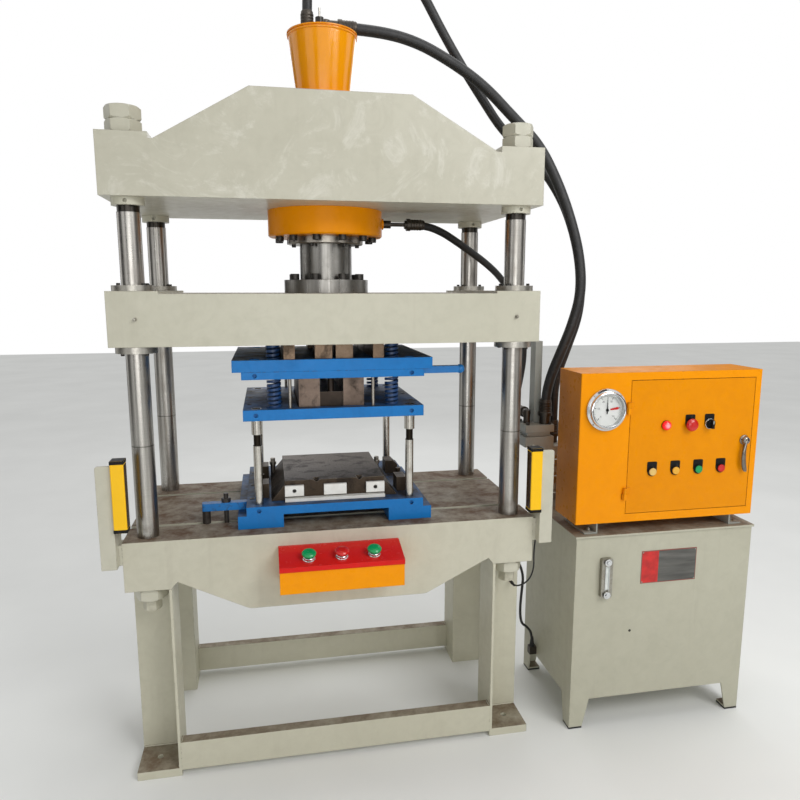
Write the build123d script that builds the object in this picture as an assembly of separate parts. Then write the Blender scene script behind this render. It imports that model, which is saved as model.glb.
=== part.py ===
from build123d import *
import math
import os

os.makedirs("parts", exist_ok=True)

# Four-column hydraulic press with its die set, hydraulic power unit and controls.
# Millimetres. +X is to the right seen from the front, +Y to the rear, +Z up.
# The origin lies on the floor, midway between the four columns.

# Frame plates and columns
COLUMN_SPAN_X = 1070.0
COLUMN_SPAN_Y = 464.0
PLATE_BEYOND_COLUMN_X = 62.0
PLATE_BEYOND_COLUMN_Y = 54.0
COLUMN_D = 60.0
COLUMN_END_D = 52.0
COLUMN_BORE_CLEARANCE = 0.4
COLUMN_HEX_ACROSS_FLATS = 46.0
COLUMN_HEX_HEIGHT = 36.0
COLUMN_TIP_ABOVE_NUT = 2.0
NECK_D = 57.0
NECK_LENGTH = 16.0
RUNNING_CLEARANCE = 0.05
STILL_CLEARANCE = 0.3
WEB = 25.0
BOSS_LENGTH = 127.0
BOSS_DEPTH = 126.0

# Bed
BED_TOP = 725.0
BED_SHOULDER_HEIGHT = 143.0
BED_TOP_PLATE = 40.0
BED_BELLY_DEPTH = 220.0
BED_BELLY_WIDTH = 520.0
BED_BELLY_PLATE = 20.0
NOTCH_WIDTH = 18.0
NOTCH_RISE = 20.0
BELLY_CORNER_R = 40.0
RIB = 20.0
ACCESS_HOLE_D = 90.0
SLOT_Y = 155.0
SLOT_WIDTH = 18.0
SLOT_HEAD_WIDTH = 30.0
SLOT_HEAD_HEIGHT = 12.0
SLOT_DEPTH = 26.0

# Crown
CROWN_GAP = 924.0
CROWN_SHOULDER_HEIGHT = 158.0
CROWN_HEIGHT = 280.0
CROWN_BOTTOM_PLATE = 40.0
CROWN_TOP_PLATE = 25.0
CROWN_TOP_WIDTH = 430.0
CROWN_NOTCH_DROP = 16.0
CROWN_RIB_X = 150.0

# Legs and stretchers
LEG_PLATE = 8.0
LEG_WIDTH = 125.0
LEG_DEPTH = 126.0
FOOT_THICKNESS = 25.0
ANCHOR_D = 18.0
ANCHOR_INSET_X = 56.0
ANCHOR_INSET_Y = 64.0
STRETCHER_HEIGHT = 88.0
STRETCHER_DEPTH = 33.0
STRETCHER_WALL = 5.0
STRETCHER_Z = 18.0

# Nuts on the columns
NUT_ACROSS_FLATS = 80.0
NUT_HEIGHT = 34.0
WASHER_D = 92.0
WASHER_THICKNESS = 5.0
COLLAR_D = 84.0
COLLAR_HEIGHT = 20.0
TOMMY_HOLE_D = 10.0
TOMMY_HOLE_DEPTH = 9.0

# Cylinder, ram and oil bucket
BARREL_D = 240.0
BARREL_BORE = 170.0
BARREL_ABOVE_CROWN = 36.0
BARREL_CAP = 40.0
CROWN_BORE_CLEARANCE = 0.5
FLANGE_D = 350.0
FLANGE_THICKNESS = 78.0
PORT_BOSS_D = 34.0
PORT_BOSS_HEIGHT = 6.0
PORT_Z_BELOW_CROWN = 34.0
GLAND_D = 230.0
GLAND_THICKNESS = 22.0
RAM_D = 160.0
PISTON_HEIGHT = 75.0
RAM_LENGTH = 438.0
RAM_FLANGE_D = 260.0
RAM_FLANGE_THICKNESS = 40.0
BUCKET_NECK_D = 155.0
BUCKET_BASE_D = 165.0
BUCKET_RIM_D = 203.0
BUCKET_NECK_HEIGHT = 40.0
BUCKET_HEIGHT = 190.0
BUCKET_WALL = 3.0
BUCKET_FLOOR = 6.0
LID_THICKNESS = 4.0
LID_OVERHANG = 3.0
BREATHER_D = 25.0
BREATHER_HEIGHT = 48.0
BREATHER_ROD_D = 6.0
BREATHER_ROD_HEIGHT = 27.0
BREATHER_X = -7.0

# Slide
SLIDE_BOTTOM = 1262.0
SLIDE_HEIGHT = 140.0
SLIDE_BOTTOM_PLATE = 40.0
SLIDE_TOP_PLATE = 25.0
SLIDE_PAD_HEIGHT = 7.0
SLIDE_PAD_LENGTH = 132.0
SLIDE_BOSS = 132.0
SLIDE_WINDOW_WIDTH = 180.0
SLIDE_WINDOW_HEIGHT = 50.0
SLIDE_RIB_X = 165.0
BUSH_D = 80.0
BUSH_FLANGE_D = 110.0
BUSH_FLANGE_TOP = 15.0
BUSH_FLANGE_BOTTOM = 18.0
BUSH_LENGTH = 66.0

# Upper die
RISER_HEIGHT = 45.0
DIE_DEPTH = 470.0
UPPER_DIE_WIDTH = 576.0
UPPER_DIE_THICKNESS = 34.0
PUNCH_PLATE_WIDTH = 526.0
PUNCH_PLATE_THICKNESS = 21.5
STRIPPER_WIDTH = 524.0
STRIPPER_TOP = 1075.0
STRIPPER_THICKNESS = 31.5
STRIPPER_LIFT = 8.0
SPRING_D = 41.0
SPRING_HOLE_D = 44.0
SPRING_X = 173.0
SPRING_Y = 190.0
SPRING_PITCH = 12.5
SPRING_WIRE_WIDTH = 7.0
SPRING_WIRE_HEIGHT = 7.5
GUIDE_X = 225.0
GUIDE_Y = 205.0
GUIDE_POST_D = 25.0
GUIDE_POST_LENGTH = 286.0
GUIDE_NECK_D = 21.0
GUIDE_NECK_LENGTH = 33.0
SLEEVE_D = 31.0
SLEEVE_LENGTH = 75.0
GUIDE_HOLE_D = 30.0
PUNCH_WIDTH = 61.0
PUNCH_X = 65.0
PUNCH_CENTRE_X = -7.0
PUNCH_FRONT_Y = -200.0
PUNCH_LENGTH_Y = 350.0
PUNCH_HEIGHT = 111.5
PUNCH_WINDOW_CLEARANCE = 3.0
CENTRE_BAR_HEIGHT = 61.0
CENTRE_BAR_LIFT = 5.0
CENTRE_BAR_SETBACK = 9.0
CENTRE_STEM_D = 19.0
CENTRE_STEM_INSET = 16.0
STRIPPER_BOLT_X = 121.0
STRIPPER_BOLT_Y = 212.0
STRIPPER_BOLT_D = 10.0
STRIPPER_BOLT_HEAD_D = 16.0
STRIPPER_BOLT_HEAD = 8.0
STRIPPER_BOLT_THREAD = 20.0
COUNTERBORE_D = 18.0
COUNTERBORE_DEPTH = 18.0
LIFTING_HOLE_D = 12.0
LIFTING_HOLE_DEPTH = 9.0
LIFTING_HOLE_X = 226.0
RISER_BAR_X = 128.0
RISER_BAR_WIDTH = 32.0
RISER_PAD_X = 30.0
RISER_PAD_WIDTH = 50.0
RISER_PAD_DEPTH = 90.0
SIDE_BAR_LENGTH = 122.0
SIDE_BAR_WIDTH = 24.0
SIDE_BAR_HEIGHT = 21.0
SIDE_BAR_Y = -165.0
KNOB_R = 14.0

# Lower die
PARALLEL_HEIGHT = 39.0
PARALLEL_WIDTH = 131.0
PARALLEL_OUTER_X = 287.0
LOWER_DIE_WIDTH = 524.0
LOWER_DIE_THICKNESS = 26.0
BLOCK_WIDTH = 300.0
BLOCK_FOOT_WIDTH = 380.0
BLOCK_FRONT_Y = -185.0
BLOCK_DEPTH = 320.0
BLOCK_HEIGHT = 60.0
BLOCK_RIM = 12.0
BLOCK_NOTCH_WIDTH = 24.0
BLOCK_NOTCH_DEPTH = 8.0
BLOCK_NOTCH_XS = (-55.0, 75.0)
INSERT_THICKNESS = 10.0
INSERT_HEIGHT = 32.0
INSERT_WIDTH = 56.0
INSERT_LIFT = 14.0
INSERT_CENTRE_WIDTH = 68.0
INSERT_HOLE_D = 12.0
STRIP_HEIGHT = 9.0
STRIP_DEPTH = 20.0
HEEL_WIDTH = 42.0
HEEL_LENGTH = 60.0
HEEL_HEIGHT = 44.0
HEEL_GAP = 6.0
HEEL_FRONT_Y = -150.0
HEEL_REAR_Y = 60.0
HEEL_POST_D = 16.0
HEEL_POST_HEIGHT = 50.0
CLAMP_LENGTH = 130.0
CLAMP_WIDTH = 26.0
CLAMP_HEIGHT = 23.0
CLAMP_STUD_X = -323.0
CLAMP_HEEL_X = -381.0
CLAMP_STUD_D = 14.0
CLAMP_HOLE_D = 16.0
CLAMP_NUT_ACROSS_FLATS = 24.0
CLAMP_NUT_HEIGHT = 13.0
CLAMP_STUD_PROUD = 14.0
CLAMP_HEAD_SIDE = 28.0
CLAMP_HEAD_HEIGHT = 10.0

# Oil tank
TANK_GAP = 139.0
TANK_LENGTH = 613.0
TANK_FORWARD = 17.0
TANK_DEPTH = 400.0
TANK_FLOOR_Z = 100.0
TANK_HEIGHT = 549.0
TANK_WALL = 4.0
TANK_LID_THICKNESS = 7.0
TANK_LID_OVERHANG = 5.0
TANK_FOOT_TOP_WIDTH = 66.0
TANK_FOOT_SOLE = 45.0
TANK_FOOT_PLATE = 5.0
PAD_THICKNESS = 6.0
LEVEL_GAUGE_INSET = 100.0
LEVEL_GAUGE_DROP = 132.0
LEVEL_GAUGE_WIDTH = 37.0
LEVEL_GAUGE_HEIGHT = 129.0
LEVEL_GAUGE_DEPTH = 16.0
SIGHT_WIDTH = 14.0
SIGHT_HEIGHT = 78.0
SIGHT_DEPTH = 5.0

# Control cabinet
CABINET_OVERHANG = 2.0
CABINET_WIDTH = 616.0
CABINET_SETBACK = 10.0
CABINET_DEPTH = 156.0
CABINET_LIFT = 34.0
CABINET_HEIGHT = 474.0
SHEET = 2.0
CABINET_FOOT_WEB = 5.0
CABINET_FOOT_FLANGE = 40.0
CABINET_FOOT_INSET = 75.0
DOOR_INSET = 165.0
DOOR_RIGHT_MARGIN = 22.0
DOOR_SILL = 26.0
DOOR_TOP_MARGIN = 24.0
DOOR_GAP = 1.5
DOOR_DEPTH = 18.0
HINGE_D = 12.0
HINGE_PIN_D = 6.0
HINGE_LENGTH = 37.0
HINGE_STANDOFF = 7.0
HINGE_LEAF = 8.0
HINGE_LOW = 67.0
HINGE_HIGH = 338.0
HANDLE_INSET = 27.0
HANDLE_LIFT = 222.0
HANDLE_LENGTH = 103.0
HANDLE_WIDTH = 20.0
HANDLE_THICKNESS = 10.0
HANDLE_BOSS_D = 30.0
HANDLE_BOSS_HEIGHT = 12.0
HANDLE_SPINDLE_D = 12.0
GAUGE_INSET = 83.0
GAUGE_DROP = 112.0
GAUGE_FLANGE_D = 130.0
GAUGE_FLANGE = 4.0
GAUGE_BEZEL_D = 110.0
GAUGE_BEZEL_HEIGHT = 14.0
GAUGE_DIAL_D = 100.0
GAUGE_DIAL_DEPTH = 12.0
GAUGE_BODY_D = 100.0
GAUGE_BODY_DEPTH = 60.0
GAUGE_HOLE_D = 102.0
NEEDLE_LENGTH = 42.0
NEEDLE_TAIL = 12.0
NEEDLE_WIDTH = 3.0
NEEDLE_THICKNESS = 1.5
NEEDLE_HUB_D = 9.0
NEEDLE_PIN_D = 4.0
NEEDLE_PIN_LENGTH = 4.0

# Push buttons on the door
BUTTON_COUNT = 4
BUTTON_INSET = 84.0
BUTTON_RIGHT_MARGIN = 105.0
BUTTON_LIFT = 134.0
PILOT_INSET = 123.0
ESTOP_INSET = 206.0
SELECTOR_INSET = 273.0
UPPER_ROW_LIFT = 280.0
PILOT_LENS_D = 29.0
PILOT_LENS_HEIGHT = 10.0
BEZEL_D = 30.0
BEZEL_HEIGHT = 4.0
BEZEL_WEB = 1.5
CAP_D = 24.0
CAP_CLEARANCE = 0.3
CAP_HEIGHT = 4.0
BUTTON_TRAVEL = 3.0
STEM_D = 16.0
BARREL_TUBE_D = 22.0
BUTTON_BODY_LENGTH = 38.0
LABEL_WIDTH = 33.0
LABEL_RISE = 31.0
LABEL_THICKNESS = 1.5
ESTOP_D = 40.0
ESTOP_HEIGHT = 14.0
ESTOP_TRAVEL = 5.0
SELECTOR_D = 28.0
SELECTOR_HEIGHT = 8.0
SELECTOR_GRIP = 12.0
SELECTOR_GRIP_WIDTH = 8.0

# Two-hand control box
BOX_HALF_WIDTH = 174.0
BOX_DROP = 140.0
BOX_DEPTH = 104.0
BOX_BACK_HEIGHT = 99.0
BOX_FRONT_HEIGHT = 76.0
BOX_LEDGE = 12.0
BOX_LID_THICKNESS = 3.0
BOX_LID_LIP = 12.0
PALM_X = 92.0
PALM_DOWN_SLOPE = 62.0
PALM_D = 40.0
PALM_HEIGHT = 12.0
PALM_TRAVEL = 5.0
PALM_COLLAR_D = 29.0
PALM_COLLAR_HEIGHT = 8.0
PALM_STEM_D = 12.0
PALM_STEM_LENGTH = 24.0
PALM_HOLE_DEPTH = 22.0

# Light curtains
CURTAIN_WIDTH = 35.0
CURTAIN_DEPTH = 39.0
CURTAIN_HEIGHT = 198.0
CURTAIN_LEFT_LIFT = 43.0
CURTAIN_RIGHT_LIFT = 25.0
BRACKET_LEAF = 40.0
BRACKET_THICKNESS = 3.0
BRACKET_STANDOFF = 9.0
BRACKET_SIDE_DEPTH = 75.0
BRACKET_HEIGHT = 290.0
BRACKET_LEFT_DROP = 63.0
BRACKET_RIGHT_DROP = 75.0
BRACKET_FORWARD = 29.0
BRACKET_PAD_TOP_GAP = 5.0
BRACKET_CORNER_R = 8.0

# Pump and motor on the tank lid
MOTOR_D = 176.0
MOTOR_LENGTH = 270.0
MOTOR_INSET = 294.0
MOTOR_BEHIND_FRONT = 285.0
MOTOR_FOOT_HEIGHT = 24.0
MOTOR_FIN_COUNT = 9
MOTOR_FIN_DEPTH = 6.0
MOTOR_FIN_WIDTH = 8.0
BELL_D = 130.0
BELL_LENGTH = 60.0
PUMP_D = 96.0
PUMP_LENGTH = 90.0
FILLER_INSET = 564.0
FILLER_D = 56.0
FILLER_HEIGHT = 58.0

# Valve manifold
MANIFOLD_INSET = 6.0
MANIFOLD_LENGTH = 92.0
MANIFOLD_BEHIND_FRONT = 299.0
MANIFOLD_DEPTH = 98.0
MANIFOLD_HEIGHT = 217.0
VALVE_OVERHANG = 66.0
VALVE_LENGTH = 104.0
VALVE_PLATE = 36.0
VALVE_NECK = 16.0
VALVE_NECK_INSET = 10.0
VALVE_CAP = 25.0
POST_OVERHANG = 17.0
POST_WIDTH = 25.0
POST_DEPTH = 45.0
POST_HEIGHT = 286.0

# Hoses and cables: outer diameter, then the route from its first fitting to its last.
ELBOW_REACH = 45.0
HOSE_1_START_X = 60.0
HOSE_1_RISE = 47.0
HOSE_1_END_INSET = 15.0
HOSE_2_START_X = -40.0
HOSE_2_RISE = 31.0
HOSE_2_END_INSET = 64.0
HOSE_3_PIPE = 81.0
HOSE_3_END_INSET = 22.0
VALVE_PIPE = 35.0
MANIFOLD_PIPE = 29.0
CONTROL_GLAND_REACH = 17.0
CONTROL_GLAND_LIFT = 18.0
TANK_GLAND_REACH = 14.0
TANK_GLAND_LIFT = 35.0
CURTAIN_GLAND_REACH = 27.0
CURTAIN_GLAND_LIFT = 88.0
LEG_CLIP_INSET = 25.0
LEG_CLIP_DROP = 114.0
HOSE_1_D = 34.0
HOSE_1_ROUTE = [
    (60, 66, 2206), (165, 66, 2206), (295, 70, 2186), (415, 70, 2132), (525, 62, 2062),
    (622, 42, 1962), (702, 20, 1880), (758, -4, 1765), (800, -22, 1650), (829, -40, 1520),
    (824, -50, 1400), (797, -38, 1296), (775, -20, 1210), (762, 4, 1125), (757, 24, 1045),
    (757, 24, 985),
]
HOSE_2_D = 30.0
HOSE_2_ROUTE = [
    (-40, 52, 2190), (-40, 52, 2280), (-28, 58, 2370), (18, 68, 2450), (100, 80, 2490),
    (190, 94, 2480), (268, 106, 2424), (330, 114, 2346), (390, 118, 2248), (458, 120, 2145),
    (530, 118, 2045), (606, 110, 1922),
    (700, 92, 1830), (765, 70, 1715), (820, 52, 1590), (853, 32, 1460), (840, 24, 1330),
    (812, 40, 1210), (806, 60, 1100), (806, 66, 1000), (806, 66, 902),
]
HOSE_3_D = 24.0
HOSE_3_ROUTE = [
    (262, 0, 1615), (315, 0, 1615), (375, 15, 1597), (432, 42, 1569), (492, 76, 1538),
    (556, 112, 1504), (620, 152, 1462), (682, 190, 1400), (728, 214, 1318), (750, 228, 1232),
    (752, 232, 1150), (740, 230, 1078), (714, 196, 1019), (698, 137, 985), (698, 75, 985),
]
CONTROL_CABLE_D = 9.0
CONTROL_CABLE_ROUTE = [
    (614, -60, 600), (614, -60, 555), (634, -60, 500), (662, -60, 436), (657, -60, 375),
    (653, -58, 305), (664, -45, 246), (694, -24, 220), (722, -10, 182), (722, -10, 135),
]
CURTAIN_CABLE_D = 5.0
CURTAIN_CABLE_ROUTE = [
    (624, -262, 738), (624, -262, 700), (618, -258, 645), (616, -254, 590), (619, -252, 548),
    (612, -248, 512), (596, -240, 488), (580, -225, 474), (572, -206, 468), (572, -186, 468),
]

# Heights and places that follow from the sizes above
COLUMN_X = COLUMN_SPAN_X / 2
COLUMN_Y = COLUMN_SPAN_Y / 2
HALF_WIDTH = COLUMN_X + PLATE_BEYOND_COLUMN_X
HALF_DEPTH = COLUMN_Y + PLATE_BEYOND_COLUMN_Y
LEG_X = HALF_WIDTH - LEG_WIDTH
LEG_Y = HALF_DEPTH - LEG_DEPTH
ANCHOR_X = HALF_WIDTH - ANCHOR_INSET_X
ANCHOR_Y = HALF_DEPTH - ANCHOR_INSET_Y
COLUMN_PLACES = [(x, y) for x in (-COLUMN_X, COLUMN_X) for y in (-COLUMN_Y, COLUMN_Y)]
BED_SHOULDER = BED_TOP - BED_SHOULDER_HEIGHT
BRACKET_LEFT_Z = BED_TOP - BRACKET_LEFT_DROP
BRACKET_RIGHT_Z = BED_TOP - BRACKET_RIGHT_DROP
BRACKET_FRONT_Y = -HALF_DEPTH - BRACKET_FORWARD
CURTAIN_LEFT_Z = BED_TOP + CURTAIN_LEFT_LIFT
CURTAIN_RIGHT_Z = BED_TOP + CURTAIN_RIGHT_LIFT
BED_BELLY = BED_TOP - BED_BELLY_DEPTH
CROWN_BOTTOM = BED_TOP + CROWN_GAP
CROWN_SHOULDER = CROWN_BOTTOM + CROWN_SHOULDER_HEIGHT
CROWN_TOP = CROWN_BOTTOM + CROWN_HEIGHT
FLANGE_BOTTOM = CROWN_BOTTOM - FLANGE_THICKNESS
BARREL_TOP = CROWN_TOP + BARREL_ABOVE_CROWN
PORT_Z = CROWN_BOTTOM - PORT_Z_BELOW_CROWN
PORT_X = FLANGE_D / 2 + PORT_BOSS_HEIGHT
BUCKET_RIM = BARREL_TOP + BUCKET_HEIGHT
LID_TOP = BUCKET_RIM + LID_THICKNESS
SLIDE_TOP = SLIDE_BOTTOM + SLIDE_HEIGHT
UPPER_DIE_TOP = SLIDE_BOTTOM - RISER_HEIGHT
UPPER_DIE_BOTTOM = UPPER_DIE_TOP - UPPER_DIE_THICKNESS
PUNCH_PLATE_BOTTOM = UPPER_DIE_BOTTOM - PUNCH_PLATE_THICKNESS
STRIPPER_BOTTOM = STRIPPER_TOP - STRIPPER_THICKNESS
PARALLEL_TOP = BED_TOP + PARALLEL_HEIGHT
LOWER_DIE_TOP = PARALLEL_TOP + LOWER_DIE_THICKNESS
DIE_HALF_DEPTH = DIE_DEPTH / 2
GUIDE_PLACES = [(x, y) for x in (-GUIDE_X, GUIDE_X) for y in (-GUIDE_Y, GUIDE_Y)]
SPRING_PLACES = [(x, y) for x in (-SPRING_X, SPRING_X) for y in (-SPRING_Y, SPRING_Y)]
BOLT_PLACES = [(x, y) for x in (PUNCH_CENTRE_X - STRIPPER_BOLT_X, PUNCH_CENTRE_X + STRIPPER_BOLT_X)
               for y in (-STRIPPER_BOLT_Y, STRIPPER_BOLT_Y)]
TANK_X = HALF_WIDTH + TANK_GAP
TANK_FRONT_Y = -HALF_DEPTH - TANK_FORWARD
TANK_TOP = TANK_FLOOR_Z + TANK_HEIGHT
LID_SURFACE = TANK_TOP + TANK_LID_THICKNESS
LEVEL_GAUGE_X = TANK_X + LEVEL_GAUGE_INSET
LEVEL_GAUGE_Z = TANK_TOP - LEVEL_GAUGE_DROP
CABINET_X = TANK_X - CABINET_OVERHANG
CABINET_FRONT_Y = TANK_FRONT_Y + CABINET_SETBACK
CABINET_BOTTOM = LID_SURFACE + CABINET_LIFT
CABINET_TOP = CABINET_BOTTOM + CABINET_HEIGHT
CABINET_REAR_Y = CABINET_FRONT_Y + CABINET_DEPTH
DOOR_X = CABINET_X + DOOR_INSET
DOOR_WIDTH = CABINET_WIDTH - DOOR_INSET - DOOR_RIGHT_MARGIN
DOOR_Z = CABINET_BOTTOM + DOOR_SILL
DOOR_HEIGHT = CABINET_HEIGHT - DOOR_SILL - DOOR_TOP_MARGIN
HINGE_CENTRES_Z = (DOOR_Z + HINGE_LOW, DOOR_Z + HINGE_HIGH)
HANDLE_X = DOOR_X + DOOR_WIDTH - HANDLE_INSET
HANDLE_Z = DOOR_Z + HANDLE_LIFT
GAUGE_X = CABINET_X + GAUGE_INSET
GAUGE_Z = CABINET_TOP - GAUGE_DROP
BUTTON_PITCH = (DOOR_WIDTH - BUTTON_INSET - BUTTON_RIGHT_MARGIN) / (BUTTON_COUNT - 1)
BUTTON_XS = [DOOR_X + BUTTON_INSET + number * BUTTON_PITCH for number in range(BUTTON_COUNT)]
BUTTON_Z = DOOR_Z + BUTTON_LIFT
UPPER_ROW_Z = DOOR_Z + UPPER_ROW_LIFT
PILOT_X = DOOR_X + PILOT_INSET
DOOR_ESTOP_X = DOOR_X + ESTOP_INSET
SELECTOR_X = DOOR_X + SELECTOR_INSET
HINGE_X = DOOR_X - HINGE_STANDOFF
HINGE_Y = CABINET_FRONT_Y - HINGE_D / 2
BOX_BOTTOM = BED_TOP - BOX_DROP
BOX_BACK_Y = -HALF_DEPTH
BOX_FRONT_Y = BOX_BACK_Y - BOX_DEPTH
BOX_SLOPE_TOP = (BOX_BACK_Y - BOX_LEDGE, BOX_BOTTOM + BOX_BACK_HEIGHT)
BOX_SLOPE_END = (BOX_FRONT_Y, BOX_BOTTOM + BOX_FRONT_HEIGHT)
BOX_SLOPE_ANGLE = math.atan2(BOX_SLOPE_TOP[1] - BOX_SLOPE_END[1], BOX_SLOPE_TOP[0] - BOX_SLOPE_END[0])
MOTOR_X = TANK_X + MOTOR_INSET
MOTOR_Y = TANK_FRONT_Y + MOTOR_BEHIND_FRONT
FILLER_X = TANK_X + FILLER_INSET
MANIFOLD_X = TANK_X + MANIFOLD_INSET
MANIFOLD_Y = TANK_FRONT_Y + MANIFOLD_BEHIND_FRONT
VALVE_X = MANIFOLD_X - VALVE_OVERHANG
POST_X = MANIFOLD_X - POST_OVERHANG
MANIFOLD_TOP = LID_SURFACE + MANIFOLD_HEIGHT
VALVE_TOP = MANIFOLD_TOP + VALVE_PLATE + VALVE_NECK + VALVE_CAP


# Helpers

def slab(x0, x1, y0, y1, z0, z1):
    """Rectangular block between two corners."""
    block = Box(x1 - x0, y1 - y0, z1 - z0)
    return Pos((x0 + x1) / 2, (y0 + y1) / 2, (z0 + z1) / 2) * block


def bar_z(x, y, z0, z1, diameter):
    """Upright round bar."""
    return Pos(x, y, (z0 + z1) / 2) * Cylinder(diameter / 2, z1 - z0)


def bar_y(x, y0, y1, z, diameter):
    """Round bar along Y."""
    return Pos(x, (y0 + y1) / 2, z) * Rot(90, 0, 0) * Cylinder(diameter / 2, y1 - y0)


def bar_x(x0, x1, y, z, diameter):
    """Round bar along X."""
    return Pos((x0 + x1) / 2, y, z) * Rot(0, 90, 0) * Cylinder(diameter / 2, x1 - x0)


def front_profile(points, y0, y1):
    """Plate between y0 and y1 with the given (x, z) outline."""
    outline = Plane.XZ * make_face(Polyline(*points, close=True))
    return extrude(Pos(0, y0, 0) * outline, amount=y1 - y0, dir=(0, 1, 0))


def side_profile(points, x0, x1):
    """Body between x0 and x1 with the given (y, z) outline."""
    outline = Plane.YZ * make_face(Polyline(*points, close=True))
    return extrude(Pos(x0, 0, 0) * outline, amount=x1 - x0, dir=(1, 0, 0))


def turned(points, x=0.0, y=0.0):
    """Body of revolution on an upright axis, from (radius, z) points."""
    outline = Plane.XZ * make_face(Polyline(*points, close=True))
    return Pos(x, y, 0) * revolve(outline, Axis.Z)


def turned_front(points, x, z):
    """Body of revolution on an axis along Y, from (radius, y) points."""
    outline = make_face(Polyline(*points, close=True))
    return Pos(x, 0, z) * revolve(outline, Axis.Y)


def hexagon(x, y, z0, across_flats, height):
    """Hexagon bar, one flat to the front, with its edges chamfered by a cone at both ends."""
    radius = across_flats / math.sqrt(3)
    prism = extrude(RegularPolygon(radius, 6), amount=height)
    bevel = 0.75 * (radius - across_flats / 2)
    barrel_outline = [
        (0, 0), (across_flats / 2, 0), (radius, bevel), (radius, height - bevel),
        (across_flats / 2, height), (0, height),
    ]
    return Pos(x, y, z0) * (prism & turned(barrel_outline))


def hex_nut(x, y, z0, across_flats, height, bore):
    """Hexagon nut, one flat to the front."""
    nut = hexagon(x, y, z0, across_flats, height)
    return nut - bar_z(x, y, z0, z0 + height, bore)


def both_sides(shape, plane=Plane.YZ):
    """The shape and its mirror image."""
    return [shape, mirror(shape, about=plane)]


def four_corners(shape):
    """The shape mirrored into all four corners."""
    pair = both_sides(shape, Plane.YZ)
    return pair + [mirror(one, about=Plane.XZ) for one in pair]


def union(shapes):
    """All the shapes as one body."""
    total = shapes[0]
    for shape in shapes[1:]:
        total += shape
    return total


def without(body, cutters):
    """The body less all the cutters."""
    for cutter in cutters:
        body -= cutter
    return body


# Machine frame

def leg():
    """Front right leg: an open L of plate on a foot plate with one anchor hole."""
    side = slab(LEG_X, LEG_X + LEG_PLATE, -HALF_DEPTH, -LEG_Y, 0, BED_SHOULDER)
    face = slab(LEG_X, HALF_WIDTH, -LEG_Y - LEG_PLATE, -LEG_Y, 0, BED_SHOULDER)
    foot = slab(LEG_X, HALF_WIDTH, -HALF_DEPTH, -LEG_Y, 0, FOOT_THICKNESS)
    hole = bar_z(ANCHOR_X, -ANCHOR_Y, -1, FOOT_THICKNESS + 1, ANCHOR_D)
    return union([side, face, foot]) - hole


def stretcher():
    """Front box-section stretcher between the legs."""
    front = -HALF_DEPTH
    rear = front + STRETCHER_DEPTH
    top = STRETCHER_Z + STRETCHER_HEIGHT
    tube = slab(-LEG_X, LEG_X, front, rear, STRETCHER_Z, top)
    inside = slab(-LEG_X - 1, LEG_X + 1, front + STRETCHER_WALL, rear - STRETCHER_WALL,
                  STRETCHER_Z + STRETCHER_WALL, top - STRETCHER_WALL)
    return tube - inside


def column_bores(z0, z1):
    """Cutters for the four column ends."""
    diameter = COLUMN_END_D + COLUMN_BORE_CLEARANCE
    return [bar_z(x, y, z0, z1, diameter) for x, y in COLUMN_PLACES]


def t_slot(y):
    """Cutter for one T-slot along the bed."""
    reach = HALF_WIDTH + 1
    bottom = BED_TOP - SLOT_DEPTH
    throat = slab(-reach, reach, y - SLOT_WIDTH / 2, y + SLOT_WIDTH / 2, bottom, BED_TOP + 1)
    head = slab(-reach, reach, y - SLOT_HEAD_WIDTH / 2, y + SLOT_HEAD_WIDTH / 2,
                bottom, bottom + SLOT_HEAD_HEIGHT)
    return throat + head


def bed_web():
    """Front web of the bed, with its shoulders, small notches and hanging belly."""
    shoulder_x = HALF_WIDTH - BOSS_LENGTH + 4
    notch_x = shoulder_x - NOTCH_WIDTH
    belly_x = BED_BELLY_WIDTH / 2
    plate_bottom = BED_TOP - BED_TOP_PLATE
    half = [
        (HALF_WIDTH, plate_bottom), (HALF_WIDTH, BED_SHOULDER), (shoulder_x, BED_SHOULDER),
        (notch_x, BED_SHOULDER + NOTCH_RISE), (belly_x, BED_BELLY),
    ]
    points = half + [(-x, z) for x, z in reversed(half)]
    web = front_profile(points, -HALF_DEPTH, -HALF_DEPTH + WEB)
    corners = web.edges().filter_by(Axis.Y).group_by(Axis.Z)[0]
    return fillet(corners, BELLY_CORNER_R)


def bed():
    """Welded bolster: top plate with T-slots, two webs, four bosses, belly plate and ribs."""
    plate_bottom = BED_TOP - BED_TOP_PLATE
    inner_y = HALF_DEPTH - WEB
    top = slab(-HALF_WIDTH, HALF_WIDTH, -HALF_DEPTH, HALF_DEPTH, plate_bottom, BED_TOP)
    boss = slab(HALF_WIDTH - BOSS_LENGTH, HALF_WIDTH, -HALF_DEPTH, -HALF_DEPTH + BOSS_DEPTH,
                BED_SHOULDER, plate_bottom)
    end_plate = slab(HALF_WIDTH - RIB, HALF_WIDTH, -inner_y, inner_y, BED_SHOULDER + NOTCH_RISE, plate_bottom)
    belly_flat = BED_BELLY_WIDTH / 2 - BELLY_CORNER_R
    belly = slab(-belly_flat, belly_flat, -inner_y, inner_y, BED_BELLY, BED_BELLY + BED_BELLY_PLATE)
    rib = slab(belly_flat - RIB, belly_flat, -inner_y, inner_y, BED_BELLY, plate_bottom)
    rib_hole_z = (BED_BELLY + plate_bottom) / 2
    rib -= bar_x(belly_flat - RIB - 1, belly_flat + 1, 0, rib_hole_z, ACCESS_HOLE_D)
    pieces = [top, belly] + both_sides(bed_web(), Plane.XZ) + four_corners(boss)
    pieces += both_sides(end_plate) + both_sides(rib)
    cutters = column_bores(BED_SHOULDER - 1, BED_TOP + 1) + [t_slot(-SLOT_Y), t_slot(SLOT_Y)]
    return without(union(pieces), cutters)


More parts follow.
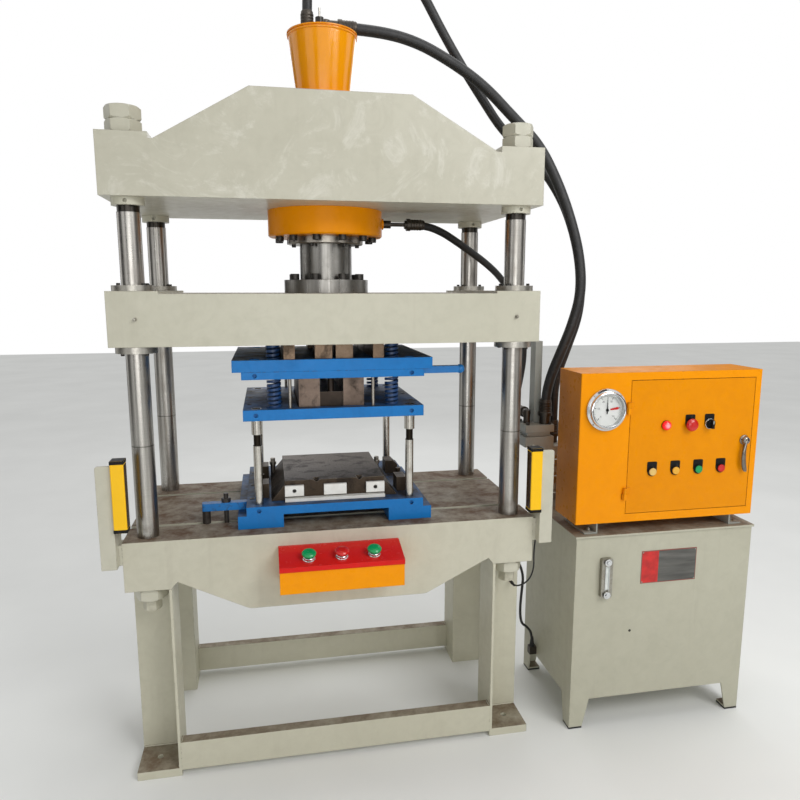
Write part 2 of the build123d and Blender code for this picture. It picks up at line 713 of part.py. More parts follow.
def column(x, y):
    """Tie column: reduced threaded ends, a relief neck under the crown, a hexagon at its foot."""
    foot = BED_SHOULDER - WASHER_THICKNESS - NUT_HEIGHT
    tip = CROWN_SHOULDER + 2 * NUT_HEIGHT + COLUMN_TIP_ABOVE_NUT
    neck_top = CROWN_BOTTOM - COLLAR_HEIGHT
    end_r = COLUMN_END_D / 2
    main_r = COLUMN_D / 2
    chamfer_size = 3.0
    outline = [
        (0, foot), (end_r, foot), (end_r, BED_TOP),
        (main_r, BED_TOP), (main_r, neck_top - NECK_LENGTH), (NECK_D / 2, neck_top - NECK_LENGTH),
        (NECK_D / 2, neck_top), (main_r, neck_top), (main_r, CROWN_BOTTOM), (end_r, CROWN_BOTTOM),
        (end_r, tip - chamfer_size), (end_r - chamfer_size, tip), (0, tip),
    ]
    hex_foot = hexagon(x, y, foot - COLUMN_HEX_HEIGHT, COLUMN_HEX_ACROSS_FLATS, COLUMN_HEX_HEIGHT)
    return turned(outline, x, y) + hex_foot


def column_nuts():
    """Two M52 nuts over the crown and a washer and nut under the bed at each column."""
    bore = COLUMN_END_D + COLUMN_BORE_CLEARANCE / 2
    solids = []
    for x, y in COLUMN_PLACES:
        washer_bottom = BED_SHOULDER - WASHER_THICKNESS
        washer = bar_z(x, y, washer_bottom, BED_SHOULDER, WASHER_D)
        solids.append(washer - bar_z(x, y, washer_bottom - 1, BED_SHOULDER + 1, bore))
        bottoms = (washer_bottom - NUT_HEIGHT, CROWN_SHOULDER, CROWN_SHOULDER + NUT_HEIGHT)
        solids += [hex_nut(x, y, z, NUT_ACROSS_FLATS, NUT_HEIGHT, bore) for z in bottoms]
    return solids


def collar_nut(x, y):
    """Round nut under the crown with four tommy-bar holes."""
    bottom = CROWN_BOTTOM - COLLAR_HEIGHT
    ring = bar_z(x, y, bottom, CROWN_BOTTOM, COLLAR_D)
    ring -= bar_z(x, y, bottom - 1, CROWN_BOTTOM + 1, COLUMN_D + 2 * RUNNING_CLEARANCE)
    z = bottom + COLLAR_HEIGHT / 2
    reach = COLLAR_D / 2
    depth = TOMMY_HOLE_DEPTH
    cutters = [
        bar_x(x - reach - 1, x - reach + depth, y, z, TOMMY_HOLE_D),
        bar_x(x + reach - depth, x + reach + 1, y, z, TOMMY_HOLE_D),
        bar_y(x, y - reach - 1, y - reach + depth, z, TOMMY_HOLE_D),
        bar_y(x, y + reach - depth, y + reach + 1, z, TOMMY_HOLE_D),
    ]
    return without(ring, cutters)


def crown_web():
    """Front web of the crown, with shoulders for the nuts and a raised middle."""
    shoulder_x = HALF_WIDTH - BOSS_LENGTH + 4
    half = [
        (HALF_WIDTH, CROWN_BOTTOM + CROWN_BOTTOM_PLATE), (HALF_WIDTH, CROWN_SHOULDER),
        (shoulder_x, CROWN_SHOULDER), (shoulder_x, CROWN_SHOULDER - CROWN_NOTCH_DROP),
        (shoulder_x - CROWN_NOTCH_DROP, CROWN_SHOULDER - CROWN_NOTCH_DROP),
        (CROWN_TOP_WIDTH / 2, CROWN_TOP),
    ]
    points = half + [(-x, z) for x, z in reversed(half)]
    return front_profile(points, -HALF_DEPTH, -HALF_DEPTH + WEB)


def crown():
    """Welded crown: bottom plate, two webs, four bosses, ribs and top plate round the cylinder."""
    plate_top = CROWN_BOTTOM + CROWN_BOTTOM_PLATE
    inner_y = HALF_DEPTH - WEB
    bottom = slab(-HALF_WIDTH, HALF_WIDTH, -HALF_DEPTH, HALF_DEPTH, CROWN_BOTTOM, plate_top)
    boss = slab(HALF_WIDTH - BOSS_LENGTH, HALF_WIDTH, -HALF_DEPTH, -HALF_DEPTH + BOSS_DEPTH,
                plate_top, CROWN_SHOULDER)
    end_plate = slab(HALF_WIDTH - RIB, HALF_WIDTH, -inner_y, inner_y, plate_top, CROWN_SHOULDER)
    rib = slab(CROWN_RIB_X, CROWN_RIB_X + RIB, -inner_y, inner_y, plate_top, CROWN_TOP - CROWN_TOP_PLATE)
    rib_hole_z = (CROWN_BOTTOM + CROWN_TOP) / 2
    rib -= bar_x(CROWN_RIB_X - 1, CROWN_RIB_X + RIB + 1, 0, rib_hole_z, ACCESS_HOLE_D)
    top = slab(-CROWN_TOP_WIDTH / 2, CROWN_TOP_WIDTH / 2, -inner_y, inner_y,
               CROWN_TOP - CROWN_TOP_PLATE, CROWN_TOP)
    pieces = [bottom, top] + both_sides(crown_web(), Plane.XZ) + four_corners(boss)
    pieces += both_sides(end_plate) + both_sides(rib)
    bore = bar_z(0, 0, CROWN_BOTTOM - 1, CROWN_TOP + 1, BARREL_D + 2 * CROWN_BORE_CLEARANCE)
    cutters = column_bores(CROWN_BOTTOM - 1, CROWN_SHOULDER + 1) + [bore]
    return without(union(pieces), cutters)


# Cylinder and ram

def cylinder_barrel():
    """Main cylinder, closed at the top, with its flange under the crown and one side port."""
    outer_r = BARREL_D / 2
    bore_r = BARREL_BORE / 2
    flange_r = FLANGE_D / 2
    bevel = 4.0
    outline = [
        (bore_r, FLANGE_BOTTOM), (flange_r - bevel, FLANGE_BOTTOM), (flange_r, FLANGE_BOTTOM + bevel),
        (flange_r, CROWN_BOTTOM), (outer_r, CROWN_BOTTOM), (outer_r, BARREL_TOP), (0, BARREL_TOP),
        (0, BARREL_TOP - BARREL_CAP), (bore_r, BARREL_TOP - BARREL_CAP),
    ]
    boss = bar_x(flange_r - 2 * PORT_BOSS_HEIGHT, PORT_X, 0, PORT_Z, PORT_BOSS_D)
    return turned(outline) + boss


def cylinder_gland():
    """Gland plate that guides the ram under the flange."""
    bottom = FLANGE_BOTTOM - GLAND_THICKNESS
    bore_r = RAM_D / 2 + RUNNING_CLEARANCE
    bevel = 2.0
    outline = [
        (bore_r, bottom), (GLAND_D / 2 - bevel, bottom), (GLAND_D / 2, bottom + bevel),
        (GLAND_D / 2, FLANGE_BOTTOM), (bore_r, FLANGE_BOTTOM),
    ]
    return turned(outline)


def ram():
    """Ram with its piston head at the top and bolting flange at the bottom."""
    head_r = BARREL_BORE / 2 - RUNNING_CLEARANCE
    flange_top = SLIDE_TOP + RAM_FLANGE_THICKNESS
    top = SLIDE_TOP + RAM_LENGTH
    outline = [
        (0, SLIDE_TOP), (RAM_FLANGE_D / 2, SLIDE_TOP), (RAM_FLANGE_D / 2, flange_top),
        (RAM_D / 2, flange_top), (RAM_D / 2, top - PISTON_HEIGHT), (head_r, top - PISTON_HEIGHT),
        (head_r, top), (0, top),
    ]
    return turned(outline)


def oil_bucket():
    """Tapered sheet oil bucket with a thicker floor, open at the top."""
    neck_r = BUCKET_NECK_D / 2
    base_r = BUCKET_BASE_D / 2
    rim_r = BUCKET_RIM_D / 2
    wall = BUCKET_WALL
    neck_z = BARREL_TOP + BUCKET_NECK_HEIGHT
    outline = [
        (0, BARREL_TOP), (neck_r, BARREL_TOP), (base_r, neck_z), (rim_r, BUCKET_RIM),
        (rim_r - wall, BUCKET_RIM), (base_r - wall, neck_z), (neck_r - wall, BARREL_TOP + BUCKET_FLOOR),
        (0, BARREL_TOP + BUCKET_FLOOR),
    ]
    return turned(outline)


def bucket_lid():
    """Flat lid on the bucket, and the breather with its thin rod screwed in it."""
    lid = bar_z(0, 0, BUCKET_RIM, LID_TOP, BUCKET_RIM_D + 2 * LID_OVERHANG)
    breather_top = LID_TOP + BREATHER_HEIGHT
    breather = bar_z(BREATHER_X, 0, LID_TOP, breather_top, BREATHER_D)
    rod = bar_z(BREATHER_X, 0, breather_top, breather_top + BREATHER_ROD_HEIGHT, BREATHER_ROD_D)
    return [lid, breather + rod]


# Slide

def slide():
    """Moving platen: hollow welding with column bosses, a central boss and rear windows."""
    pocket_z0 = SLIDE_BOTTOM + SLIDE_BOTTOM_PLATE
    pocket_z1 = SLIDE_TOP - SLIDE_TOP_PLATE
    inner_y = HALF_DEPTH - WEB
    boss_x = HALF_WIDTH - SLIDE_BOSS
    boss_y = HALF_DEPTH - SLIDE_BOSS
    body = slab(-HALF_WIDTH, HALF_WIDTH, -HALF_DEPTH, HALF_DEPTH, SLIDE_BOTTOM, SLIDE_TOP)
    pad = slab(HALF_WIDTH - SLIDE_PAD_LENGTH, HALF_WIDTH, -HALF_DEPTH, HALF_DEPTH,
               SLIDE_TOP, SLIDE_TOP + SLIDE_PAD_HEIGHT)
    middle = slab(-SLIDE_RIB_X, SLIDE_RIB_X, -inner_y, inner_y, pocket_z0, pocket_z1)
    middle -= bar_z(0, 0, pocket_z0, pocket_z1, RAM_D)
    side = slab(SLIDE_RIB_X + RIB, boss_x, -inner_y, inner_y, pocket_z0, pocket_z1)
    end = slab(boss_x - 1, HALF_WIDTH - WEB, -boss_y, boss_y, pocket_z0, pocket_z1)
    window_z = (pocket_z0 + pocket_z1) / 2
    half_window = SLIDE_WINDOW_HEIGHT / 2
    side_window_x = (SLIDE_RIB_X + RIB + boss_x) / 2
    windows = [
        slab(x - SLIDE_WINDOW_WIDTH / 2, x + SLIDE_WINDOW_WIDTH / 2, inner_y - 1, HALF_DEPTH + 1,
             window_z - half_window, window_z + half_window)
        for x in (-side_window_x, 0, side_window_x)
    ]
    bores = [bar_z(x, y, SLIDE_BOTTOM - 1, SLIDE_TOP + SLIDE_PAD_HEIGHT + 1, BUSH_D + 2 * RUNNING_CLEARANCE)
             for x, y in COLUMN_PLACES]
    cutters = [middle] + both_sides(side) + both_sides(end) + windows + bores
    return without(union([body] + both_sides(pad)), cutters)


def flanged_bush(x, y, flange_z, flange, sleeve):
    """Bush with its flange from flange_z over the flange height, and its sleeve the other way."""
    ring = bar_z(x, y, min(flange_z, flange_z + flange), max(flange_z, flange_z + flange), BUSH_FLANGE_D)
    tube = bar_z(x, y, min(flange_z, flange_z + sleeve), max(flange_z, flange_z + sleeve), BUSH_D)
    bore = bar_z(x, y, SLIDE_BOTTOM - 2 * BUSH_LENGTH, SLIDE_TOP + 2 * BUSH_LENGTH,
                 COLUMN_D + 2 * RUNNING_CLEARANCE)
    return ring + tube - bore


def slide_bushes():
    """A flanged bush above and below the slide on each column."""
    solids = []
    for x, y in COLUMN_PLACES:
        pad_top = SLIDE_TOP + SLIDE_PAD_HEIGHT
        solids.append(flanged_bush(x, y, pad_top, BUSH_FLANGE_TOP, -BUSH_LENGTH))
        solids.append(flanged_bush(x, y, SLIDE_BOTTOM, -BUSH_FLANGE_BOTTOM, BUSH_LENGTH))
    return solids


# Upper die

def lifting_holes(z):
    """Cutters for the two lifting holes in the front face of a die plate."""
    front = -DIE_HALF_DEPTH
    return [bar_y(x, front - 1, front + LIFTING_HOLE_DEPTH, z, LIFTING_HOLE_D)
            for x in (-LIFTING_HOLE_X, LIFTING_HOLE_X)]


def upright_holes(places, diameter, z0, z1):
    """Cutters for a set of upright holes."""
    return [bar_z(x, y, z0 - 1, z1 + 1, diameter) for x, y in places]


def upper_die_plate():
    """Top plate of the die set, with holes for springs, guide posts and stripper bolts."""
    half = UPPER_DIE_WIDTH / 2
    plate = slab(-half, half, -DIE_HALF_DEPTH, DIE_HALF_DEPTH, UPPER_DIE_BOTTOM, UPPER_DIE_TOP)
    cutters = upright_holes(SPRING_PLACES, SPRING_HOLE_D, UPPER_DIE_BOTTOM, UPPER_DIE_TOP)
    cutters += upright_holes(GUIDE_PLACES, GUIDE_HOLE_D, UPPER_DIE_BOTTOM, UPPER_DIE_TOP)
    cutters += upright_holes(BOLT_PLACES, STRIPPER_BOLT_D + 1, UPPER_DIE_BOTTOM, UPPER_DIE_TOP)
    cutters += upright_holes(BOLT_PLACES, COUNTERBORE_D, UPPER_DIE_TOP - COUNTERBORE_DEPTH + 1, UPPER_DIE_TOP)
    return without(plate, cutters)


def punch_plate():
    """Plate under the upper die plate that carries the punches."""
    half = PUNCH_PLATE_WIDTH / 2
    plate = slab(-half, half, -DIE_HALF_DEPTH, DIE_HALF_DEPTH, PUNCH_PLATE_BOTTOM, UPPER_DIE_BOTTOM)
    cutters = upright_holes(SPRING_PLACES, SPRING_HOLE_D, PUNCH_PLATE_BOTTOM, UPPER_DIE_BOTTOM)
    cutters += upright_holes(GUIDE_PLACES, GUIDE_HOLE_D, PUNCH_PLATE_BOTTOM, UPPER_DIE_BOTTOM)
    cutters += upright_holes(BOLT_PLACES, STRIPPER_BOLT_D + 1, PUNCH_PLATE_BOTTOM, UPPER_DIE_BOTTOM)
    cutters += lifting_holes((PUNCH_PLATE_BOTTOM + UPPER_DIE_BOTTOM) / 2)
    return without(plate, cutters)


def riser_blocks():
    """Bars and pads between the slide and the upper die plate."""
    bar = slab(RISER_BAR_X - RISER_BAR_WIDTH / 2, RISER_BAR_X + RISER_BAR_WIDTH / 2,
               -DIE_HALF_DEPTH + 5, DIE_HALF_DEPTH - 5, UPPER_DIE_TOP, SLIDE_BOTTOM)
    front_y = -DIE_HALF_DEPTH + 15
    pad = slab(RISER_PAD_X - RISER_PAD_WIDTH / 2, RISER_PAD_X + RISER_PAD_WIDTH / 2,
               front_y, front_y + RISER_PAD_DEPTH, UPPER_DIE_TOP, SLIDE_BOTTOM)
    return both_sides(bar) + four_corners(pad)


def punch_blocks():
    """Two long punches, and the low bar between them on its two round stems."""
    rear_y = PUNCH_FRONT_Y + PUNCH_LENGTH_Y
    bottom = PUNCH_PLATE_BOTTOM - PUNCH_HEIGHT
    punches = [
        slab(x - PUNCH_WIDTH / 2, x + PUNCH_WIDTH / 2, PUNCH_FRONT_Y, rear_y, bottom, PUNCH_PLATE_BOTTOM)
        for x in (PUNCH_CENTRE_X - PUNCH_X, PUNCH_CENTRE_X + PUNCH_X)
    ]
    half = PUNCH_X - PUNCH_WIDTH / 2 - STILL_CLEARANCE
    y0 = PUNCH_FRONT_Y + CENTRE_BAR_SETBACK
    y1 = rear_y - CENTRE_BAR_SETBACK
    z0 = bottom + CENTRE_BAR_LIFT
    z1 = z0 + CENTRE_BAR_HEIGHT
    bar = slab(PUNCH_CENTRE_X - half, PUNCH_CENTRE_X + half, y0, y1, z0, z1)
    stems = [bar_z(PUNCH_CENTRE_X, y, z1 - 1, PUNCH_PLATE_BOTTOM, CENTRE_STEM_D)
             for y in (y0 + CENTRE_STEM_INSET, y1 - CENTRE_STEM_INSET)]
    return punches + [union([bar] + stems)]


def punch_window():
    """Cutter that lets both punches and the bar between them through the stripper plate."""
    half = PUNCH_X + PUNCH_WIDTH / 2 + PUNCH_WINDOW_CLEARANCE
    y0 = PUNCH_FRONT_Y - PUNCH_WINDOW_CLEARANCE
    y1 = PUNCH_FRONT_Y + PUNCH_LENGTH_Y + PUNCH_WINDOW_CLEARANCE
    return slab(PUNCH_CENTRE_X - half, PUNCH_CENTRE_X + half, y0, y1, STRIPPER_BOTTOM - 1, STRIPPER_TOP + 1)


def stripper_plate():
    """Spring-loaded plate round the punches, with its window, sleeve bores and bolt holes."""
    half = STRIPPER_WIDTH / 2
    plate = slab(-half, half, -DIE_HALF_DEPTH, DIE_HALF_DEPTH, STRIPPER_BOTTOM, STRIPPER_TOP)
    cutters = upright_holes(GUIDE_PLACES, SLEEVE_D + 2 * RUNNING_CLEARANCE, STRIPPER_BOTTOM, STRIPPER_TOP)
    bolt_bottom = STRIPPER_TOP - STRIPPER_BOLT_THREAD
    cutters += [bar_z(x, y, bolt_bottom, STRIPPER_TOP + 1, STRIPPER_BOLT_D + 2 * RUNNING_CLEARANCE)
                for x, y in BOLT_PLACES]
    cutters.append(punch_window())
    cutters += lifting_holes(STRIPPER_BOTTOM + STRIPPER_THICKNESS / 2)
    return without(plate, cutters)


def guide_sleeve(x, y):
    """Sleeve in the stripper plate that runs on a guide post."""
    bottom = STRIPPER_TOP - SLEEVE_LENGTH
    tube = bar_z(x, y, bottom, STRIPPER_TOP, SLEEVE_D)
    return tube - bar_z(x, y, bottom - 1, STRIPPER_TOP + 1, GUIDE_POST_D + 2 * RUNNING_CLEARANCE)


def stripper_bolt(x, y):
    """Shoulder bolt screwed in the stripper plate, its head in the upper die plate."""
    head_z = UPPER_DIE_TOP - COUNTERBORE_DEPTH
    shank = bar_z(x, y, STRIPPER_TOP - STRIPPER_BOLT_THREAD, head_z, STRIPPER_BOLT_D)
    return shank + bar_z(x, y, head_z, head_z + STRIPPER_BOLT_HEAD, STRIPPER_BOLT_HEAD_D)


def die_spring(x, y):
    """Coil spring of flat wire between the stripper plate and the slide, with ground ends."""
    height = SLIDE_BOTTOM - STRIPPER_TOP
    radius = (SPRING_D - SPRING_WIRE_WIDTH) / 2
    overrun = SPRING_PITCH / 2
    path = Pos(0, 0, -overrun) * Helix(SPRING_PITCH, height + 2 * overrun, radius)
    section = Plane(origin=path @ 0, x_dir=(1, 0, 0), z_dir=path % 0)
    wire = sweep(section * Rectangle(SPRING_WIRE_WIDTH, SPRING_WIRE_HEIGHT), path=path, is_frenet=True)
    ends = Pos(0, 0, height / 2) * Cylinder(SPRING_D, height)
    return Pos(x, y, STRIPPER_TOP) * (wire & ends)


def side_bar():
    """Flat bar with a round knob on the right of the punch plate."""
    x0 = PUNCH_PLATE_WIDTH / 2
    x1 = x0 + SIDE_BAR_LENGTH
    half = SIDE_BAR_WIDTH / 2
    z1 = UPPER_DIE_BOTTOM
    flat = slab(x0, x1, SIDE_BAR_Y - half, SIDE_BAR_Y + half, z1 - SIDE_BAR_HEIGHT, z1)
    knob = Pos(x1 + KNOB_R / 2, SIDE_BAR_Y, z1 - SIDE_BAR_HEIGHT / 2) * Sphere(KNOB_R)
    return flat + knob


# Lower die

def lower_die_shoe():
    """Lower die plate on two parallels, with bores for the guide posts."""
    half = LOWER_DIE_WIDTH / 2
    plate = slab(-half, half, -DIE_HALF_DEPTH, DIE_HALF_DEPTH, PARALLEL_TOP, LOWER_DIE_TOP)
    parallel = slab(PARALLEL_OUTER_X - PARALLEL_WIDTH, PARALLEL_OUTER_X, -DIE_HALF_DEPTH, DIE_HALF_DEPTH,
                    BED_TOP, PARALLEL_TOP)
    bores = upright_holes(GUIDE_PLACES, GUIDE_POST_D + 2 * RUNNING_CLEARANCE, PARALLEL_TOP + 1, LOWER_DIE_TOP)
    cutters = bores + lifting_holes((PARALLEL_TOP + LOWER_DIE_TOP) / 2)
    return without(union([plate] + both_sides(parallel)), cutters)


def guide_post(x, y):
    """Guide post standing in the lower die plate, with a relief neck below the sleeve."""
    top = PARALLEL_TOP + GUIDE_POST_LENGTH
    post_r = GUIDE_POST_D / 2
    neck_r = GUIDE_NECK_D / 2
    neck_top = STRIPPER_TOP - SLEEVE_LENGTH
    neck_bottom = neck_top - GUIDE_NECK_LENGTH
    nose = post_r / 3
    outline = [
        (0, PARALLEL_TOP), (post_r, PARALLEL_TOP), (post_r, neck_bottom), (neck_r, neck_bottom),
        (neck_r, neck_top), (post_r, neck_top), (post_r, top - nose), (post_r - nose, top), (0, top),
    ]
    return turned(outline, x, y)


def lower_die_block():
    """Die block under the punches: sloped flanks, a straight rim and two small V notches in front."""
    half = BLOCK_WIDTH / 2
    foot = BLOCK_FOOT_WIDTH / 2
    top = LOWER_DIE_TOP + BLOCK_HEIGHT
    rim = top - BLOCK_RIM
    points = [
        (-foot, LOWER_DIE_TOP), (foot, LOWER_DIE_TOP), (half, rim), (half, top), (-half, top), (-half, rim),
    ]
    block = front_profile(points, BLOCK_FRONT_Y, BLOCK_FRONT_Y + BLOCK_DEPTH)
    side = BLOCK_NOTCH_WIDTH / 2
    notches = [
        front_profile([(x - side, top + 1), (x + side, top + 1), (x, top - BLOCK_NOTCH_DEPTH)],
                      BLOCK_FRONT_Y - 1, BLOCK_FRONT_Y + BLOCK_NOTCH_WIDTH)
        for x in BLOCK_NOTCH_XS
    ]
    return without(block, notches)


def die_inserts():
    """Three white plates on the front of the die block and the strip below them."""
    front = BLOCK_FRONT_Y - INSERT_THICKNESS
    z0 = LOWER_DIE_TOP + INSERT_LIFT
    z1 = z0 + INSERT_HEIGHT
    outer_x = BLOCK_WIDTH / 2
    outer = slab(outer_x - INSERT_WIDTH, outer_x, front, BLOCK_FRONT_Y, z0, z1)
    outer -= bar_y(outer_x - INSERT_WIDTH / 2, front - 1, BLOCK_FRONT_Y + 1, (z0 + z1) / 2, INSERT_HOLE_D)
    half = INSERT_CENTRE_WIDTH / 2
    centre = slab(-half, half, front, BLOCK_FRONT_Y, z0, z1)
    strip = slab(-outer_x, outer_x, BLOCK_FRONT_Y - STRIP_DEPTH, BLOCK_FRONT_Y,
                 LOWER_DIE_TOP, LOWER_DIE_TOP + STRIP_HEIGHT)
    return both_sides(outer) + [centre, strip]


def heel_blocks():
    """Heel blocks beside the die block, and a small post behind each front one."""
    x0 = BLOCK_FOOT_WIDTH / 2 + HEEL_GAP
    solids = []
    for y in (HEEL_FRONT_Y, HEEL_REAR_Y):
        block = slab(x0, x0 + HEEL_WIDTH, y, y + HEEL_LENGTH, LOWER_DIE_TOP, LOWER_DIE_TOP + HEEL_HEIGHT)
        bevel_edge = block.edges().filter_by(Axis.Y).group_by(Axis.Z)[-1].sort_by(Axis.X)[-1]
        solids += both_sides(chamfer(bevel_edge, HEEL_HEIGHT / 3))
    post_y = HEEL_FRONT_Y + HEEL_LENGTH + 2 * HEEL_POST_D
    post = bar_z(x0 + HEEL_WIDTH / 2, post_y, LOWER_DIE_TOP, LOWER_DIE_TOP + HEEL_POST_HEIGHT, HEEL_POST_D)
    return solids + both_sides(post)


def die_clamp():
    """Clamp bar on the left parallel, its T-bolt with nut, and the jack under its heel."""
    x1 = -LOWER_DIE_WIDTH / 2 - STILL_CLEARANCE
    x0 = x1 - CLAMP_LENGTH
    half = CLAMP_WIDTH / 2
    z0 = PARALLEL_TOP
    z1 = z0 + CLAMP_HEIGHT
    bar = slab(x0, x1, -SLOT_Y - half, -SLOT_Y + half, z0, z1)
    bar = fillet(bar.edges().filter_by(Axis.Z), half / 2)
    bar -= bar_z(CLAMP_STUD_X, -SLOT_Y, z0 - 1, z1 + 1, CLAMP_HOLE_D)
    slot_floor = BED_TOP - SLOT_DEPTH
    head_half = CLAMP_HEAD_SIDE / 2
    head = slab(CLAMP_STUD_X - head_half, CLAMP_STUD_X + head_half, -SLOT_Y - head_half,
                -SLOT_Y + head_half, slot_floor, slot_floor + CLAMP_HEAD_HEIGHT)
    stud_top = z1 + CLAMP_NUT_HEIGHT + CLAMP_STUD_PROUD
    stud = head + bar_z(CLAMP_STUD_X, -SLOT_Y, slot_floor, stud_top, CLAMP_STUD_D)
    nut = hex_nut(CLAMP_STUD_X, -SLOT_Y, z1, CLAMP_NUT_ACROSS_FLATS, CLAMP_NUT_HEIGHT,
                  CLAMP_STUD_D + 2 * RUNNING_CLEARANCE)
    jack = bar_z(CLAMP_HEEL_X, -SLOT_Y, BED_TOP, z0, CLAMP_NUT_ACROSS_FLATS)
    return [bar, stud, nut, jack]


# Oil tank and what stands on it

def tank_foot():
    """Front left foot: two tapering plates on a square sole."""
    x0 = TANK_X
    y0 = TANK_FRONT_Y
    t = TANK_FOOT_PLATE
    z0 = PAD_THICKNESS
    top = TANK_FOOT_TOP_WIDTH
    sole = TANK_FOOT_SOLE
    front_points = [(x0, z0), (x0 + sole, z0), (x0 + top, TANK_FLOOR_Z), (x0, TANK_FLOOR_Z)]
    side_points = [(y0, z0), (y0 + sole, z0), (y0 + top, TANK_FLOOR_Z), (y0, TANK_FLOOR_Z)]
    front = front_profile(front_points, y0, y0 + t)
    side = side_profile(side_points, x0, x0 + t)
    return union([front, side, slab(x0, x0 + sole, y0, y0 + sole, z0, z0 + t)])


def tank_corners(shape):
    """The front left shape mirrored to the tank's four corners."""
    centre_x = TANK_X + TANK_LENGTH / 2
    centre_y = TANK_FRONT_Y + TANK_DEPTH / 2
    pair = [shape, mirror(shape, about=Plane.YZ.offset(centre_x))]
    return pair + [mirror(one, about=Plane.XZ.offset(-centre_y)) for one in pair]


def tank():
    """Welded oil tank, open under its lid, on four corner feet."""
    x1 = TANK_X + TANK_LENGTH
    y1 = TANK_FRONT_Y + TANK_DEPTH
    wall = TANK_WALL
    body = slab(TANK_X, x1, TANK_FRONT_Y, y1, TANK_FLOOR_Z, TANK_TOP)
    body -= slab(TANK_X + wall, x1 - wall, TANK_FRONT_Y + wall, y1 - wall, TANK_FLOOR_Z + wall, TANK_TOP + 1)
    return union([body] + tank_corners(tank_foot()))


def tank_lid():
    """Lid plate, a little larger than the tank."""
    over = TANK_LID_OVERHANG
    return slab(TANK_X - over, TANK_X + TANK_LENGTH + over, TANK_FRONT_Y - over,
                TANK_FRONT_Y + TANK_DEPTH + over, TANK_TOP, LID_SURFACE)


def tank_pads():
    """Rubber pad under each foot."""
    sole = TANK_FOOT_SOLE
    return tank_corners(slab(TANK_X, TANK_X + sole, TANK_FRONT_Y, TANK_FRONT_Y + sole, 0, PAD_THICKNESS))


def level_gauge():
    """Oil level gauge on the tank front, with its sight recess and two bolt heads."""
    half_w = LEVEL_GAUGE_WIDTH / 2
    half_h = LEVEL_GAUGE_HEIGHT / 2
    front = TANK_FRONT_Y - LEVEL_GAUGE_DEPTH
    body = slab(LEVEL_GAUGE_X - half_w, LEVEL_GAUGE_X + half_w, front, TANK_FRONT_Y,
                LEVEL_GAUGE_Z - half_h, LEVEL_GAUGE_Z + half_h)
    body = fillet(body.edges().filter_by(Axis.Y), half_w / 3)
    body -= slab(LEVEL_GAUGE_X - SIGHT_WIDTH / 2, LEVEL_GAUGE_X + SIGHT_WIDTH / 2, front - 1,
                 front + SIGHT_DEPTH, LEVEL_GAUGE_Z - SIGHT_HEIGHT / 2, LEVEL_GAUGE_Z + SIGHT_HEIGHT / 2)
    head_z = (half_h + SIGHT_HEIGHT / 2) / 2
    heads = [bar_y(LEVEL_GAUGE_X, front - SIGHT_DEPTH, front, LEVEL_GAUGE_Z + dz, SIGHT_WIDTH)
             for dz in (-head_z, head_z)]
    return union([body] + heads)


def cabinet_feet():
    """Two angle bars along Y that carry the cabinet over the tank lid."""
    web = CABINET_FOOT_WEB
    flange = CABINET_FOOT_FLANGE
    bars = []
    for x, out in ((CABINET_X + CABINET_FOOT_INSET, -1), (CABINET_X + CABINET_WIDTH - CABINET_FOOT_INSET, 1)):
        upright = slab(x - web / 2, x + web / 2, CABINET_FRONT_Y + web, CABINET_REAR_Y - web,
                       LID_SURFACE, CABINET_BOTTOM)
        x_out = x + out * (flange + web / 2)
        flat = slab(min(x, x_out), max(x, x_out), CABINET_FRONT_Y + web, CABINET_REAR_Y - web,
                    LID_SURFACE, LID_SURFACE + web)
        bars.append(upright + flat)
    return bars


def hinge_half(lower):
    """Hinge knuckles on the cabinet with their pins, or the ones on the door."""
    solids = []
    for z in HINGE_CENTRES_Z:
        z0 = z - HINGE_LENGTH / 2
        z1 = z + HINGE_LENGTH / 2
        if lower:
            knuckle = bar_z(HINGE_X, HINGE_Y, z0, z - STILL_CLEARANCE / 2, HINGE_D)
            tail = slab(HINGE_X - HINGE_LEAF, HINGE_X, HINGE_Y, CABINET_FRONT_Y, z0, z - STILL_CLEARANCE / 2)
            solids += [knuckle + tail, bar_z(HINGE_X, HINGE_Y, z0, z1 - 1, HINGE_PIN_D)]
        else:
            knuckle = bar_z(HINGE_X, HINGE_Y, z + STILL_CLEARANCE / 2, z1, HINGE_D)
            knuckle += slab(HINGE_X, DOOR_X + HINGE_D, CABINET_FRONT_Y - SHEET, CABINET_FRONT_Y,
                            z + STILL_CLEARANCE / 2, z1)
            pin_hole = HINGE_PIN_D + 4 * RUNNING_CLEARANCE
            solids.append(knuckle - bar_z(HINGE_X, HINGE_Y, z0, z1 + 1, pin_hole))
    return solids


def cabinet():
    """Sheet cabinet with the door opening in front, the gauge hole and its hinge knuckles."""
    x1 = CABINET_X + CABINET_WIDTH
    body = slab(CABINET_X, x1, CABINET_FRONT_Y, CABINET_REAR_Y, CABINET_BOTTOM, CABINET_TOP)
    body = fillet(body.edges().filter_by(Axis.Z), 2 * SHEET)
    inside = slab(CABINET_X + SHEET, x1 - SHEET, CABINET_FRONT_Y + SHEET, CABINET_REAR_Y - SHEET,
                  CABINET_BOTTOM + SHEET, CABINET_TOP - SHEET)
    doorway = slab(DOOR_X, DOOR_X + DOOR_WIDTH, CABINET_FRONT_Y - 1, CABINET_FRONT_Y + 2 * SHEET,
                   DOOR_Z, DOOR_Z + DOOR_HEIGHT)
    gauge_hole = bar_y(GAUGE_X, CABINET_FRONT_Y - 1, CABINET_FRONT_Y + 2 * SHEET, GAUGE_Z, GAUGE_HOLE_D)
    shell = without(body, [inside, doorway, gauge_hole])
    return union([shell] + hinge_half(lower=True))


